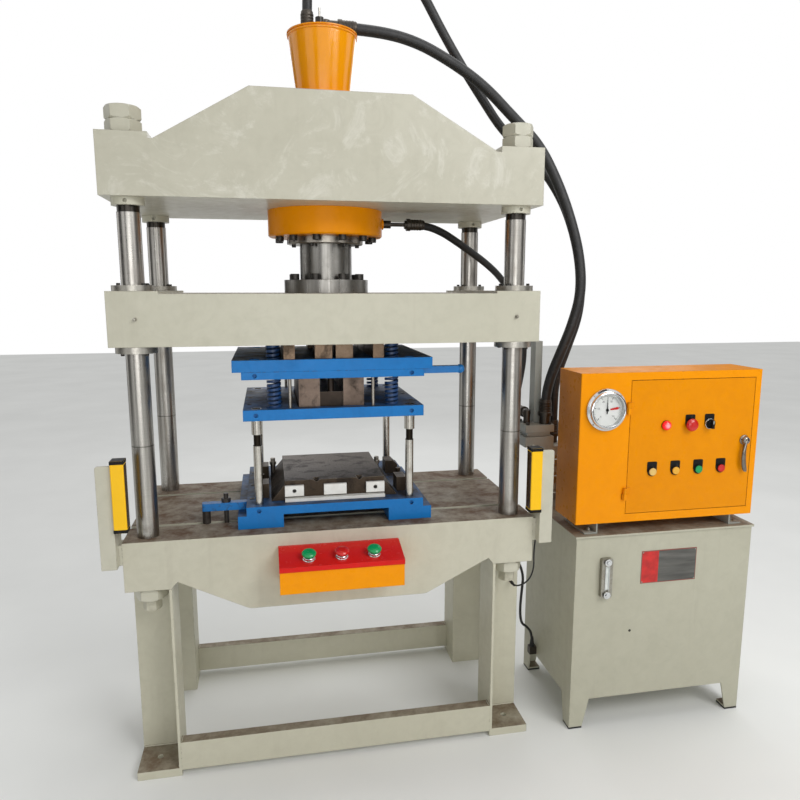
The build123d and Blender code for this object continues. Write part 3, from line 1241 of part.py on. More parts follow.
def cabinet_door():
    """Pressed door pan in the opening, with holes for the buttons and the handle."""
    x0 = DOOR_X + DOOR_GAP
    x1 = DOOR_X + DOOR_WIDTH - DOOR_GAP
    z0 = DOOR_Z + DOOR_GAP
    z1 = DOOR_Z + DOOR_HEIGHT - DOOR_GAP
    rear = CABINET_FRONT_Y + DOOR_DEPTH
    pan = slab(x0, x1, CABINET_FRONT_Y, rear, z0, z1)
    pan -= slab(x0 + SHEET, x1 - SHEET, CABINET_FRONT_Y + SHEET, rear + 1, z0 + SHEET, z1 - SHEET)
    pan = union([pan] + hinge_half(lower=False))
    hole = BARREL_TUBE_D + 2 * RUNNING_CLEARANCE
    places = [(x, BUTTON_Z) for x in BUTTON_XS]
    places += [(x, UPPER_ROW_Z) for x in (PILOT_X, DOOR_ESTOP_X, SELECTOR_X)]
    cutters = [bar_y(x, CABINET_FRONT_Y - 1, CABINET_FRONT_Y + 2 * SHEET, z, hole) for x, z in places]
    spindle_hole = HANDLE_SPINDLE_D + 2 * RUNNING_CLEARANCE
    cutters.append(bar_y(HANDLE_X, CABINET_FRONT_Y - 1, CABINET_FRONT_Y + 2 * SHEET, HANDLE_Z, spindle_hole))
    return without(pan, cutters)


def door_handle():
    """Lever handle with its boss and spindle through the door."""
    front = CABINET_FRONT_Y - STILL_CLEARANCE
    boss = bar_y(HANDLE_X, front - HANDLE_BOSS_HEIGHT, front, HANDLE_Z, HANDLE_BOSS_D)
    spindle = bar_y(HANDLE_X, front - 1, CABINET_FRONT_Y + DOOR_DEPTH, HANDLE_Z, HANDLE_SPINDLE_D)
    half = HANDLE_WIDTH / 2
    lever_y1 = front - HANDLE_BOSS_HEIGHT / 3
    lever = slab(HANDLE_X - half, HANDLE_X + half, lever_y1 - HANDLE_THICKNESS, lever_y1,
                 HANDLE_Z - HANDLE_LENGTH, HANDLE_Z)
    lever = fillet(lever.edges().filter_by(Axis.Y), half - 1)
    return union([boss, spindle, lever])


def pressure_gauge():
    """Panel gauge: mounting flange, raised bezel round the dial recess, body behind the panel."""
    face = CABINET_FRONT_Y
    flange_y = face - GAUGE_FLANGE
    bezel_y = flange_y - GAUGE_BEZEL_HEIGHT
    dial_y = bezel_y + GAUGE_DIAL_DEPTH
    bevel = 2.0
    outline = [
        (0, dial_y), (GAUGE_DIAL_D / 2, dial_y), (GAUGE_DIAL_D / 2, bezel_y),
        (GAUGE_BEZEL_D / 2 - bevel, bezel_y), (GAUGE_BEZEL_D / 2, bezel_y + bevel),
        (GAUGE_BEZEL_D / 2, flange_y), (GAUGE_FLANGE_D / 2, flange_y), (GAUGE_FLANGE_D / 2, face),
        (GAUGE_BODY_D / 2, face), (GAUGE_BODY_D / 2, face + GAUGE_BODY_DEPTH), (0, face + GAUGE_BODY_DEPTH),
    ]
    body = turned_front(outline, GAUGE_X, GAUGE_Z)
    pin_hole = bar_y(GAUGE_X, dial_y - 1, dial_y + NEEDLE_PIN_LENGTH + 1, GAUGE_Z,
                     NEEDLE_PIN_D + 2 * RUNNING_CLEARANCE)
    return body - pin_hole


def gauge_needle():
    """Needle with its hub and pin, pointing up at mid scale."""
    dial_y = CABINET_FRONT_Y - GAUGE_FLANGE - GAUGE_BEZEL_HEIGHT + GAUGE_DIAL_DEPTH
    y1 = dial_y - 2 * NEEDLE_THICKNESS
    y0 = y1 - NEEDLE_THICKNESS
    x0 = GAUGE_X - NEEDLE_WIDTH / 2
    x1 = GAUGE_X + NEEDLE_WIDTH / 2
    tail_z = GAUGE_Z - NEEDLE_TAIL
    points = [(x0, tail_z), (x1, tail_z), (x1, GAUGE_Z), (GAUGE_X, GAUGE_Z + NEEDLE_LENGTH), (x0, GAUGE_Z)]
    blade = front_profile(points, y0, y1)
    hub = bar_y(GAUGE_X, y0 - 1, y1 + 1, GAUGE_Z, NEEDLE_HUB_D)
    pin = bar_y(GAUGE_X, y0, dial_y + NEEDLE_PIN_LENGTH, GAUGE_Z, NEEDLE_PIN_D)
    return union([blade, hub, pin])


# Buttons on the door

def bezel(x, z, stem_d):
    """Button bezel with its threaded body through the door."""
    face = CABINET_FRONT_Y
    ring_r = CAP_D / 2 + CAP_CLEARANCE
    bore_r = stem_d / 2 + 2 * RUNNING_CLEARANCE
    outline = [
        (bore_r, face - BEZEL_WEB), (ring_r, face - BEZEL_WEB), (ring_r, face - BEZEL_HEIGHT),
        (BEZEL_D / 2, face - BEZEL_HEIGHT), (BEZEL_D / 2, face), (BARREL_TUBE_D / 2, face),
        (BARREL_TUBE_D / 2, face + BUTTON_BODY_LENGTH), (bore_r, face + BUTTON_BODY_LENGTH),
    ]
    return turned_front(outline, x, z)


def label_plate(x, z):
    """Blank label plate that hugs a bezel from above."""
    front = CABINET_FRONT_Y - LABEL_THICKNESS
    half = LABEL_WIDTH / 2
    plate = slab(x - half, x + half, front, CABINET_FRONT_Y, z, z + LABEL_RISE)
    corners = plate.edges().filter_by(Axis.Y).group_by(Axis.Z)[-1]
    plate = fillet(corners, half / 4)
    return plate - bar_y(x, front - 1, CABINET_FRONT_Y + 1, z, BEZEL_D + 2 * CAP_CLEARANCE)


def pilot_lens():
    """Domed lens over the bezel of the pilot lamp."""
    rim_y = CABINET_FRONT_Y - BEZEL_HEIGHT
    height = PILOT_LENS_HEIGHT
    front = rim_y - height
    seat_y = CABINET_FRONT_Y - BEZEL_WEB
    lens_r = PILOT_LENS_D / 2
    outline = [
        (0, front), (0.6 * lens_r, front + 0.1 * height), (0.9 * lens_r, front + 0.4 * height),
        (lens_r, front + 0.7 * height), (lens_r, rim_y), (CAP_D / 2, rim_y), (CAP_D / 2, seat_y), (0, seat_y),
    ]
    return turned_front(outline, PILOT_X, UPPER_ROW_Z)


def button_bezels():
    """All bezels with their label plates, and the lens of the pilot lamp."""
    places = [(x, BUTTON_Z) for x in BUTTON_XS]
    places += [(x, UPPER_ROW_Z) for x in (DOOR_ESTOP_X, SELECTOR_X)]
    solids = [bezel(x, z, STEM_D) for x, z in places + [(PILOT_X, UPPER_ROW_Z)]]
    solids += [label_plate(x, z) for x, z in places]
    return solids + [pilot_lens()]


def push_button(x):
    """Round push button cap with its stem."""
    back = CABINET_FRONT_Y - BEZEL_WEB - BUTTON_TRAVEL - 1
    front = back - CAP_HEIGHT
    bevel = 1.0
    outline = [
        (0, front), (CAP_D / 2 - bevel, front), (CAP_D / 2, front + bevel), (CAP_D / 2, back),
        (STEM_D / 2, back), (STEM_D / 2, CABINET_FRONT_Y + BUTTON_BODY_LENGTH / 2),
        (0, CABINET_FRONT_Y + BUTTON_BODY_LENGTH / 2),
    ]
    return turned_front(outline, x, BUTTON_Z)


def door_estop():
    """Mushroom emergency stop on the door."""
    back = CABINET_FRONT_Y - BEZEL_HEIGHT - ESTOP_TRAVEL - 1
    front = back - ESTOP_HEIGHT
    r = ESTOP_D / 2
    outline = [
        (0, front), (0.55 * r, front + 1), (0.85 * r, front + 4), (r, front + 9), (r, back - 2),
        (0.9 * r, back), (STEM_D / 2, back), (STEM_D / 2, CABINET_FRONT_Y + BUTTON_BODY_LENGTH / 2),
        (0, CABINET_FRONT_Y + BUTTON_BODY_LENGTH / 2),
    ]
    return turned_front(outline, DOOR_ESTOP_X, UPPER_ROW_Z)


def selector_knob():
    """Selector with a grip bar across its round base."""
    back = CABINET_FRONT_Y - BEZEL_HEIGHT - STILL_CLEARANCE
    front = back - SELECTOR_HEIGHT
    base = bar_y(SELECTOR_X, front, back, UPPER_ROW_Z, SELECTOR_D)
    stem = bar_y(SELECTOR_X, back - 1, CABINET_FRONT_Y + BUTTON_BODY_LENGTH / 2, UPPER_ROW_Z, STEM_D)
    half = SELECTOR_GRIP_WIDTH / 2
    reach = SELECTOR_D / 2 - 1
    grip = slab(SELECTOR_X - half, SELECTOR_X + half, front - SELECTOR_GRIP, front,
                UPPER_ROW_Z - reach, UPPER_ROW_Z + reach)
    return union([base, stem, grip])


# Two-hand control box

def on_slope(x, shape):
    """Place a shape made on an upright axis at z 0 on the box's sloped lid, down its middle."""
    y0, z0 = BOX_SLOPE_TOP
    angle = BOX_SLOPE_ANGLE
    y = y0 - PALM_DOWN_SLOPE * math.cos(angle) - BOX_LID_THICKNESS * math.sin(angle)
    z = z0 - PALM_DOWN_SLOPE * math.sin(angle) + BOX_LID_THICKNESS * math.cos(angle)
    return Pos(x, y, z) * Rot(math.degrees(angle), 0, 0) * shape


def box_stations():
    """The three places on the lid."""
    return (-PALM_X, 0.0, PALM_X)


def control_box():
    """Wedge-shaped housing on the front of the bed, with a hole under each button."""
    points = [
        (BOX_BACK_Y, BOX_BOTTOM), (BOX_FRONT_Y, BOX_BOTTOM), BOX_SLOPE_END, BOX_SLOPE_TOP,
        (BOX_BACK_Y, BOX_SLOPE_TOP[1]),
    ]
    body = side_profile(points, -BOX_HALF_WIDTH, BOX_HALF_WIDTH)
    depth = PALM_HOLE_DEPTH + BOX_LID_THICKNESS
    hole = Pos(0, 0, -depth / 2) * Cylinder(PALM_STEM_D / 2 + 1, depth)
    return without(body, [on_slope(x, hole) for x in box_stations()])


def control_box_lid():
    """Folded lid on the slope, with a collar for each button."""
    t = BOX_LID_THICKNESS
    y0, z0 = BOX_SLOPE_TOP
    y1, z1 = BOX_SLOPE_END
    lip = BOX_LID_LIP
    rise = t / math.cos(BOX_SLOPE_ANGLE)
    points = [
        (BOX_BACK_Y, z0), (y0, z0), (y1, z1), (y1, z1 - lip), (y1 - t, z1 - lip),
        (y1 - t, z1 + rise - t * math.tan(BOX_SLOPE_ANGLE)), (y0, z0 + rise), (BOX_BACK_Y, z0 + rise),
    ]
    sheet = side_profile(points, -BOX_HALF_WIDTH - t / 3, BOX_HALF_WIDTH + t / 3)
    collar = Pos(0, 0, PALM_COLLAR_HEIGHT / 2) * Cylinder(PALM_COLLAR_D / 2, PALM_COLLAR_HEIGHT)
    lid = union([sheet] + [on_slope(x, collar) for x in box_stations()])
    bore = Cylinder(PALM_STEM_D / 2 + 2 * RUNNING_CLEARANCE, 2 * PALM_HOLE_DEPTH)
    return without(lid, [on_slope(x, bore) for x in box_stations()])


def mushroom(x):
    """Domed mushroom head on its stem."""
    z0 = PALM_COLLAR_HEIGHT + PALM_TRAVEL + 1
    z1 = z0 + PALM_HEIGHT
    r = PALM_D / 2
    outline = [
        (0, z0 - PALM_STEM_LENGTH), (PALM_STEM_D / 2, z0 - PALM_STEM_LENGTH), (PALM_STEM_D / 2, z0),
        (0.9 * r, z0), (r, z0 + 2), (r, z1 - 6), (0.85 * r, z1 - 2.5), (0.5 * r, z1 - 0.5), (0, z1),
    ]
    return on_slope(x, turned(outline))


# Light curtains

def light_curtain(side, z0):
    """Light-curtain body standing on the inner side of its bracket."""
    x_out = HALF_WIDTH + BRACKET_STANDOFF
    y1 = -HALF_DEPTH
    body = slab(x_out - CURTAIN_WIDTH, x_out, y1 - CURTAIN_DEPTH, y1, z0, z0 + CURTAIN_HEIGHT)
    body = fillet(body.edges().filter_by(Axis.Z), 3)
    groove_z = CURTAIN_HEIGHT / 12
    groove_y = y1 - CURTAIN_DEPTH / 2
    window = slab(x_out - CURTAIN_WIDTH - 1, x_out - CURTAIN_WIDTH + 2, groove_y - CURTAIN_DEPTH / 4,
                  groove_y + CURTAIN_DEPTH / 4, z0 + groove_z, z0 + CURTAIN_HEIGHT - groove_z)
    body -= window
    return body if side > 0 else mirror(body, about=Plane.YZ)


def curtain_bracket(side, z0):
    """Angle bracket on the side of the bed."""
    z1 = z0 + BRACKET_HEIGHT
    x0 = HALF_WIDTH + BRACKET_STANDOFF
    x1 = x0 + BRACKET_THICKNESS
    y0 = BRACKET_FRONT_Y
    side_leaf = slab(x0, x1, y0, y0 + BRACKET_SIDE_DEPTH, z0, z1)
    front_leaf = slab(x0, x1 + BRACKET_LEAF - BRACKET_THICKNESS, y0, y0 + BRACKET_THICKNESS, z0, z1)
    pad = slab(HALF_WIDTH, x0, -HALF_DEPTH, y0 + BRACKET_SIDE_DEPTH, z0, BED_TOP - BRACKET_PAD_TOP_GAP)
    outer_corner = front_leaf.edges().filter_by(Axis.Y).group_by(Axis.Z)[-1].sort_by(Axis.X)[-1]
    front_leaf = fillet(outer_corner, BRACKET_CORNER_R)
    bracket = union([side_leaf, front_leaf, pad])
    return bracket if side > 0 else mirror(bracket, about=Plane.YZ)


# Pump, motor and valves

def pump_set():
    """Finned motor on its foot, bell housing and gear pump, and the tank's filler cap."""
    axis_z = LID_SURFACE + MOTOR_FOOT_HEIGHT + MOTOR_D / 2
    x1 = MOTOR_X + MOTOR_LENGTH
    motor = bar_x(MOTOR_X, x1, MOTOR_Y, axis_z, MOTOR_D)
    pitch = MOTOR_LENGTH / (MOTOR_FIN_COUNT + 2)
    groove_r = MOTOR_D / 2 - MOTOR_FIN_DEPTH
    for index in range(MOTOR_FIN_COUNT):
        x = MOTOR_X + pitch * (index + 1.5)
        ring = bar_x(x, x + MOTOR_FIN_WIDTH, MOTOR_Y, axis_z, MOTOR_D + 2)
        motor -= ring - bar_x(x - 1, x + MOTOR_FIN_WIDTH + 1, MOTOR_Y, axis_z, 2 * groove_r)
    bell = bar_x(MOTOR_X - BELL_LENGTH, MOTOR_X, MOTOR_Y, axis_z, BELL_D)
    pump = bar_x(MOTOR_X - BELL_LENGTH - PUMP_LENGTH, MOTOR_X - BELL_LENGTH, MOTOR_Y, axis_z, PUMP_D)
    foot_half = MOTOR_D / 3
    foot = slab(MOTOR_X + pitch, x1 - pitch, MOTOR_Y - foot_half, MOTOR_Y + foot_half, LID_SURFACE, axis_z)
    set_body = union([motor, bell, pump, foot])
    filler = bar_z(FILLER_X, MOTOR_Y + MOTOR_D / 2 + FILLER_D / 3, LID_SURFACE,
                   LID_SURFACE + FILLER_HEIGHT, FILLER_D)
    return [set_body, filler]


def valve_manifold():
    """Manifold block with the stepped valve body over it and the square post on top."""
    y1 = MANIFOLD_Y + MANIFOLD_DEPTH
    block = slab(MANIFOLD_X, MANIFOLD_X + MANIFOLD_LENGTH, MANIFOLD_Y, y1, LID_SURFACE, MANIFOLD_TOP)
    plate_top = MANIFOLD_TOP + VALVE_PLATE
    neck_top = plate_top + VALVE_NECK
    inset = VALVE_NECK_INSET
    x1 = VALVE_X + VALVE_LENGTH
    plate = slab(VALVE_X, x1, MANIFOLD_Y, y1, MANIFOLD_TOP, plate_top)
    neck = slab(VALVE_X + inset, x1 - inset, MANIFOLD_Y + inset, y1 - inset, plate_top, neck_top)
    cap = slab(VALVE_X, x1, MANIFOLD_Y, y1, neck_top, VALVE_TOP)
    post = slab(POST_X, POST_X + POST_WIDTH, y1 - POST_DEPTH, y1, VALVE_TOP, VALVE_TOP + POST_HEIGHT)
    return union([block, plate, neck, cap, post])


# Hoses, cables and their fittings

def led(route, start, end):
    """Route stretched along X and Z so that it runs from start to end, both given as (x, z)."""
    first_x, first_y, first_z = route[0]
    last_x, last_y, last_z = route[-1]
    along_x = (end[0] - start[0]) / (last_x - first_x)
    along_z = (end[1] - start[1]) / (last_z - first_z)
    return [(start[0] + along_x * (x - first_x), y, start[1] + along_z * (z - first_z)) for x, y, z in route]


def cord(route, diameter):
    """Round cord along straight runs joined by tangent arcs; also prints its arcs and length."""
    points = [Vector(*point) for point in route]
    radii = []
    for before, corner, after in zip(points, points[1:], points[2:]):
        turn = (corner - before).get_angle(after - corner)
        shorter = min((corner - before).length, (after - corner).length)
        radii.append(0.45 * shorter / math.tan(math.radians(turn / 2)))
    path = FilletPolyline(*points, radius=radii)
    section = Plane(origin=path @ 0, z_dir=path % 0) * Circle(diameter / 2)
    tube = sweep(section, path=path)
    expected = math.pi * diameter ** 2 / 4 * path.length
    print("cord", diameter, "radii/d", [round(r / diameter, 1) for r in radii])
    print("  length", round(path.length), "volume ratio", round(tube.volume / expected, 4))
    return tube


HOSE_1_PATH = led(
    HOSE_1_ROUTE,
    (HOSE_1_START_X, LID_TOP + HOSE_1_RISE),
    (MANIFOLD_X + HOSE_1_END_INSET, VALVE_TOP + VALVE_PIPE),
)
HOSE_2_PATH = led(
    HOSE_2_ROUTE,
    (HOSE_2_START_X, LID_TOP + HOSE_2_RISE),
    (MANIFOLD_X + HOSE_2_END_INSET, MANIFOLD_TOP + MANIFOLD_PIPE),
)
HOSE_3_PATH = led(
    HOSE_3_ROUTE,
    (PORT_X + HOSE_3_PIPE, PORT_Z),
    (VALVE_X + HOSE_3_END_INSET, VALVE_TOP + VALVE_PIPE),
)
CONTROL_CABLE_PATH = led(
    CONTROL_CABLE_ROUTE,
    (HALF_WIDTH + CONTROL_GLAND_REACH, BED_SHOULDER + CONTROL_GLAND_LIFT),
    (TANK_X - TANK_GLAND_REACH, TANK_FLOOR_Z + TANK_GLAND_LIFT),
)
CURTAIN_CABLE_PATH = led(
    CURTAIN_CABLE_ROUTE,
    (HALF_WIDTH + CURTAIN_GLAND_REACH, BRACKET_RIGHT_Z + CURTAIN_GLAND_LIFT),
    (HALF_WIDTH - LEG_CLIP_INSET, BED_SHOULDER - LEG_CLIP_DROP),
)


def hose_fittings():
    """Pipe stubs, elbows and glands that the hoses and cables end in."""
    solids = []
    start = HOSE_1_PATH[0]
    riser_x = start[0] - ELBOW_REACH
    elbow = bar_z(riser_x, start[1], LID_TOP, start[2] + HOSE_1_D / 2, HOSE_1_D)
    elbow += bar_x(riser_x, start[0], start[1], start[2], HOSE_1_D + 4)
    solids.append(elbow)
    start = HOSE_2_PATH[0]
    solids.append(bar_z(start[0], start[1], LID_TOP, start[2], HOSE_2_D + 4))
    end = HOSE_1_PATH[-1]
    solids.append(bar_z(end[0], end[1], VALVE_TOP, end[2], HOSE_1_D + 4))
    end = HOSE_2_PATH[-1]
    solids.append(bar_z(end[0], end[1], MANIFOLD_TOP, end[2], HOSE_2_D + 4))
    end = HOSE_3_PATH[-1]
    riser_y = end[1] - HOSE_3_D - 6
    elbow = bar_z(end[0], riser_y, VALVE_TOP, end[2] + HOSE_3_D / 2, HOSE_3_D)
    elbow += bar_y(end[0], riser_y, end[1], end[2], HOSE_3_D + 4)
    solids.append(elbow)
    start = HOSE_3_PATH[0]
    pipe = bar_x(PORT_X, start[0], start[1], PORT_Z, HOSE_3_D / 2)
    pipe += bar_x(PORT_X, PORT_X + HOSE_3_D, start[1], PORT_Z, HOSE_3_D)
    pipe += bar_x(start[0] - HOSE_3_D / 2, start[0], start[1], PORT_Z, HOSE_3_D + 2)
    solids.append(pipe)
    start = CONTROL_CABLE_PATH[0]
    gland = CONTROL_CABLE_D + 5
    solids.append(slab(HALF_WIDTH, start[0] + gland, start[1] - gland, start[1] + gland,
                       start[2], start[2] + 3 * gland))
    end = CONTROL_CABLE_PATH[-1]
    solids.append(slab(end[0] - gland / 1.2, TANK_X, end[1] - gland / 1.2, end[1] + gland / 1.2,
                       end[2] - 2 * gland, end[2]))
    start = CURTAIN_CABLE_PATH[0]
    gland = CURTAIN_CABLE_D + 4
    wall_x = HALF_WIDTH + BRACKET_STANDOFF + BRACKET_THICKNESS
    solids.append(slab(wall_x, start[0] + gland, start[1] - gland, start[1] + gland,
                       start[2], start[2] + 4 * gland))
    end = CURTAIN_CABLE_PATH[-1]
    solids.append(bar_y(end[0], end[1], -LEG_Y - LEG_PLATE, end[2], 2 * CURTAIN_CABLE_D))
    return solids


# Every node and its solids

CORDS = {
    "hose_1": (HOSE_1_PATH, HOSE_1_D),
    "hose_2": (HOSE_2_PATH, HOSE_2_D),
    "hose_3": (HOSE_3_PATH, HOSE_3_D),
    "control_cable": (CONTROL_CABLE_PATH, CONTROL_CABLE_D),
    "curtain_cable": (CURTAIN_CABLE_PATH, CURTAIN_CABLE_D),
}

NODES = {
    "legs": four_corners(leg()),
    "stretchers": both_sides(stretcher(), Plane.XZ),
    "bed": [bed()],
    "columns": [column(x, y) for x, y in COLUMN_PLACES],
    "column_nuts": column_nuts(),
    "collar_nuts": [collar_nut(x, y) for x, y in COLUMN_PLACES],
    "crown": [crown()],
    "cylinder_barrel": [cylinder_barrel()],
    "cylinder_gland": [cylinder_gland()],
    "ram": [ram()],
    "oil_bucket": [oil_bucket()],
    "bucket_lid": bucket_lid(),
    "slide": [slide()],
    "slide_bushes": slide_bushes(),
    "upper_die_plate": [upper_die_plate()],
    "punch_plate": [punch_plate()],
    "riser_blocks": riser_blocks(),
    "punch_blocks": punch_blocks(),
    "stripper_plate": [stripper_plate()],
    "guide_sleeves": [guide_sleeve(x, y) for x, y in GUIDE_PLACES],
    "stripper_bolts": [stripper_bolt(x, y) for x, y in BOLT_PLACES],
    "die_springs": [die_spring(x, y) for x, y in SPRING_PLACES],
    "side_bar": [side_bar()],
    "lower_die_shoe": [lower_die_shoe()],
    "guide_posts": [guide_post(x, y) for x, y in GUIDE_PLACES],
    "lower_die_block": [lower_die_block()] + heel_blocks(),
    "die_inserts": die_inserts(),
    "die_clamp": die_clamp(),
    "tank": [tank()],
    "tank_lid": [tank_lid()],
    "tank_pads": tank_pads(),
    "level_gauge": [level_gauge()],
    "cabinet_feet": cabinet_feet(),
    "cabinet": [cabinet()],
    "cabinet_door": [cabinet_door()],
    "door_handle": [door_handle()],
    "pressure_gauge": [pressure_gauge()],
    "gauge_needle": [gauge_needle()],
    "pump_set": pump_set(),
    "valve_manifold": [valve_manifold()],
    "button_bezels": button_bezels(),
    "door_estop": [door_estop()],
    "selector_knob": [selector_knob()],
    "control_box": [control_box()],
    "control_box_lid": [control_box_lid()],
    "palm_left": [mushroom(-PALM_X)],
    "palm_right": [mushroom(PALM_X)],
    "box_estop": [mushroom(0.0)],
    "curtain_brackets": [curtain_bracket(-1, BRACKET_LEFT_Z), curtain_bracket(1, BRACKET_RIGHT_Z)],
    "light_curtains": [light_curtain(-1, CURTAIN_LEFT_Z), light_curtain(1, CURTAIN_RIGHT_Z)],
    "hose_fittings": hose_fittings(),
}
for number, button_x in enumerate(BUTTON_XS, start=1):
    NODES[f"push_button_{number}"] = [push_button(button_x)]
for name, (route, diameter) in CORDS.items():
    NODES[name] = [cord(route, diameter)]

for name, shapes in NODES.items():
    solids = [solid for shape in shapes for solid in shape.solids()]
    export_step(Compound(children=solids), f"parts/{name}.step")
print(len(NODES), "nodes")
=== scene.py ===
import math

import bmesh
import bpy
from mathutils import Matrix, Vector


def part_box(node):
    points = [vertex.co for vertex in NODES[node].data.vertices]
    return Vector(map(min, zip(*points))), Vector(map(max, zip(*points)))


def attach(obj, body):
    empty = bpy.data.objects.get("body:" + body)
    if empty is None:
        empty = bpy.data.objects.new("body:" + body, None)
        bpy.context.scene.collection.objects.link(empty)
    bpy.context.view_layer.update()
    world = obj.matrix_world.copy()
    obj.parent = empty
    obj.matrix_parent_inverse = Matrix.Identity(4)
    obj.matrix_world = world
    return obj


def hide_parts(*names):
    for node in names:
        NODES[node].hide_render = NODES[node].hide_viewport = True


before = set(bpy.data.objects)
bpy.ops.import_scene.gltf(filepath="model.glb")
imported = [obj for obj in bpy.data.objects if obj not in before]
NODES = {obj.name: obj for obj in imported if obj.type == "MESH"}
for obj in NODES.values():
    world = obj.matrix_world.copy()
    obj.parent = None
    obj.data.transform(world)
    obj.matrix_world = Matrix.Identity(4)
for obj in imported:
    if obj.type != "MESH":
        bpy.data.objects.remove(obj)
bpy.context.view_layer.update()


# Places on the machine, in millimetres

def limits(node, letter):
    """Lowest and highest place of a node along an axis."""
    return [round(corner["XYZ".index(letter)] * 1000, 3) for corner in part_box(node)]


COLUMN_PLACES = [(x, y) for x in (-535, 535) for y in (-232, 232)]
SLIDE_FRONT = limits("slide", "Y")[0]
BUSH_BOTTOM, BUSH_TOP = limits("slide_bushes", "Z")
RAM_FLANGE_TOP = 1442
CYLINDER_BOTTOM = limits("cylinder_barrel", "Z")[0]
GLAND_BOTTOM = limits("cylinder_gland", "Z")[0]
STRIPPER_TOP = limits("stripper_plate", "Z")[1]
DIE_SHOE_TOP = limits("lower_die_shoe", "Z")[1]
BLOCK_FRONT = limits("lower_die_block", "Y")[0]
TANK_FRONT = limits("tank", "Y")[0]
NAMEPLATE_X = (960, 1154)
NAMEPLATE_Z = (483, 592)
CABINET_FRONT = -293
BUTTON_FACE = CABINET_FRONT - 4
PILOT_LAMP = (1022, 996)
SELECTOR = (1172, 996)


def add_object(name, data):
    made = bpy.data.objects.new(name, data)
    bpy.context.scene.collection.objects.link(made)
    return made


# Camera
CAMERA_PLACE = (-0.1866, -2.1781, 1.4142)
CAMERA_TILT = math.radians(80.75)
CAMERA_TURN = math.radians(-10.98)
CAMERA_LENS = 30.66
SENSOR = 36.0


def add_camera():
    data = bpy.data.cameras.new("camera")
    data.lens = CAMERA_LENS
    data.sensor_width = SENSOR
    data.clip_start = 0.05
    data.clip_end = 60.0
    camera = add_object("camera", data)
    camera.location = CAMERA_PLACE
    camera.rotation_euler = (CAMERA_TILT, 0.0, CAMERA_TURN)
    bpy.context.scene.camera = camera


add_camera()


# Shader helpers

def rgb(code):
    """Linear colour of an sRGB hex code."""
    values = [int(code[i:i + 2], 16) / 255 for i in (0, 2, 4)]
    return tuple(v / 12.92 if v <= 0.04045 else ((v + 0.055) / 1.055) ** 2.4 for v in values) + (1.0,)


class Shader:
    """A material with short calls for the procedural nodes that the finishes share."""

    def __init__(self, name):
        self.material = bpy.data.materials.new(name)
        self.material.use_nodes = True
        self.tree = self.material.node_tree
        self.bsdf = self.tree.nodes["Principled BSDF"]
        coordinates = self.node("ShaderNodeTexCoord")
        self.place = coordinates.outputs["Object"]
        self.normal = coordinates.outputs["Normal"]

    def node(self, kind, inputs=None, **settings):
        """New node, with its settings and what its inputs hold, by name or by number."""
        made = self.tree.nodes.new(kind)
        for key, value in settings.items():
            setattr(made, key, value)
        for key, value in (inputs or {}).items():
            self.put(made.inputs[key], value)
        return made

    def put(self, socket, value):
        """Feed a socket from another socket, or set it to a number, a vector or a colour's hex code."""
        if isinstance(value, bpy.types.NodeSocket):
            self.tree.links.new(value, socket)
        else:
            socket.default_value = rgb(value) if isinstance(value, str) else value

    def maths(self, operation, a, b=0.0):
        return self.node("ShaderNodeMath", {0: a, 1: b}, operation=operation).outputs[0]

    def times(self, a, b):
        return self.maths("MULTIPLY", a, b)

    def plus(self, a, b):
        return self.maths("ADD", a, b)

    def band(self, value, low, high, to_low=0.0, to_high=1.0):
        """Value mapped from low..high to to_low..to_high, clamped."""
        inputs = {"Value": value, "From Min": low, "From Max": high, "To Min": to_low, "To Max": to_high}
        return self.node("ShaderNodeMapRange", inputs, clamp=True).outputs["Result"]

    def between(self, value, low, high, soft):
        """1 where the value lies between low and high, with soft borders."""
        rise = self.band(value, low - soft, low + soft)
        fall = self.band(value, high - soft, high + soft, 1.0, 0.0)
        return self.times(rise, fall)

    def mix(self, share, a, b):
        return self.node("ShaderNodeMix", {0: share, 6: a, 7: b}, data_type="RGBA").outputs[2]

    def noise(self, scale, detail=3.0, roughness=0.55, stretch=None, distortion=0.0):
        place = self.place
        if stretch:
            place = self.node("ShaderNodeVectorMath", {0: place, 1: stretch}, operation="MULTIPLY").outputs[0]
        inputs = {"Vector": place, "Scale": scale, "Detail": detail, "Roughness": roughness,
                  "Distortion": distortion}
        return self.node("ShaderNodeTexNoise", inputs).outputs["Fac"]

    def axis(self, letter, vector=None):
        return self.node("ShaderNodeSeparateXYZ", {0: vector or self.place}).outputs["XYZ".index(letter)]

    def soft_edges(self, radius):
        """Normal that rounds the edges."""
        return self.node("ShaderNodeBevel", {"Radius": radius}, samples=4).outputs[0]

    def edges(self, radius):
        """1 on the outer and inner edges of the shape, 0 on its flats."""
        flat = self.node("ShaderNodeNewGeometry").outputs["Normal"]
        inputs = {0: self.soft_edges(radius), 1: flat}
        dot = self.node("ShaderNodeVectorMath", inputs, operation="DOT_PRODUCT")
        return self.band(self.maths("SUBTRACT", 1.0, dot.outputs["Value"]), 0.02, 0.25)

    def bump(self, height, strength, distance, normal=None):
        made = self.node("ShaderNodeBump", {"Strength": strength, "Distance": distance, "Height": height})
        if normal:
            self.put(made.inputs["Normal"], normal)
        return made.outputs["Normal"]

    def finish(self, colour, roughness, normal=None, metallic=0.0, **constants):
        self.put(self.bsdf.inputs["Base Color"], colour)
        self.put(self.bsdf.inputs["Roughness"], roughness)
        self.put(self.bsdf.inputs["Metallic"], metallic)
        if normal:
            self.put(self.bsdf.inputs["Normal"], normal)
        for key, value in constants.items():
            self.bsdf.inputs[key.replace("_", " ")].default_value = value
        return self.material


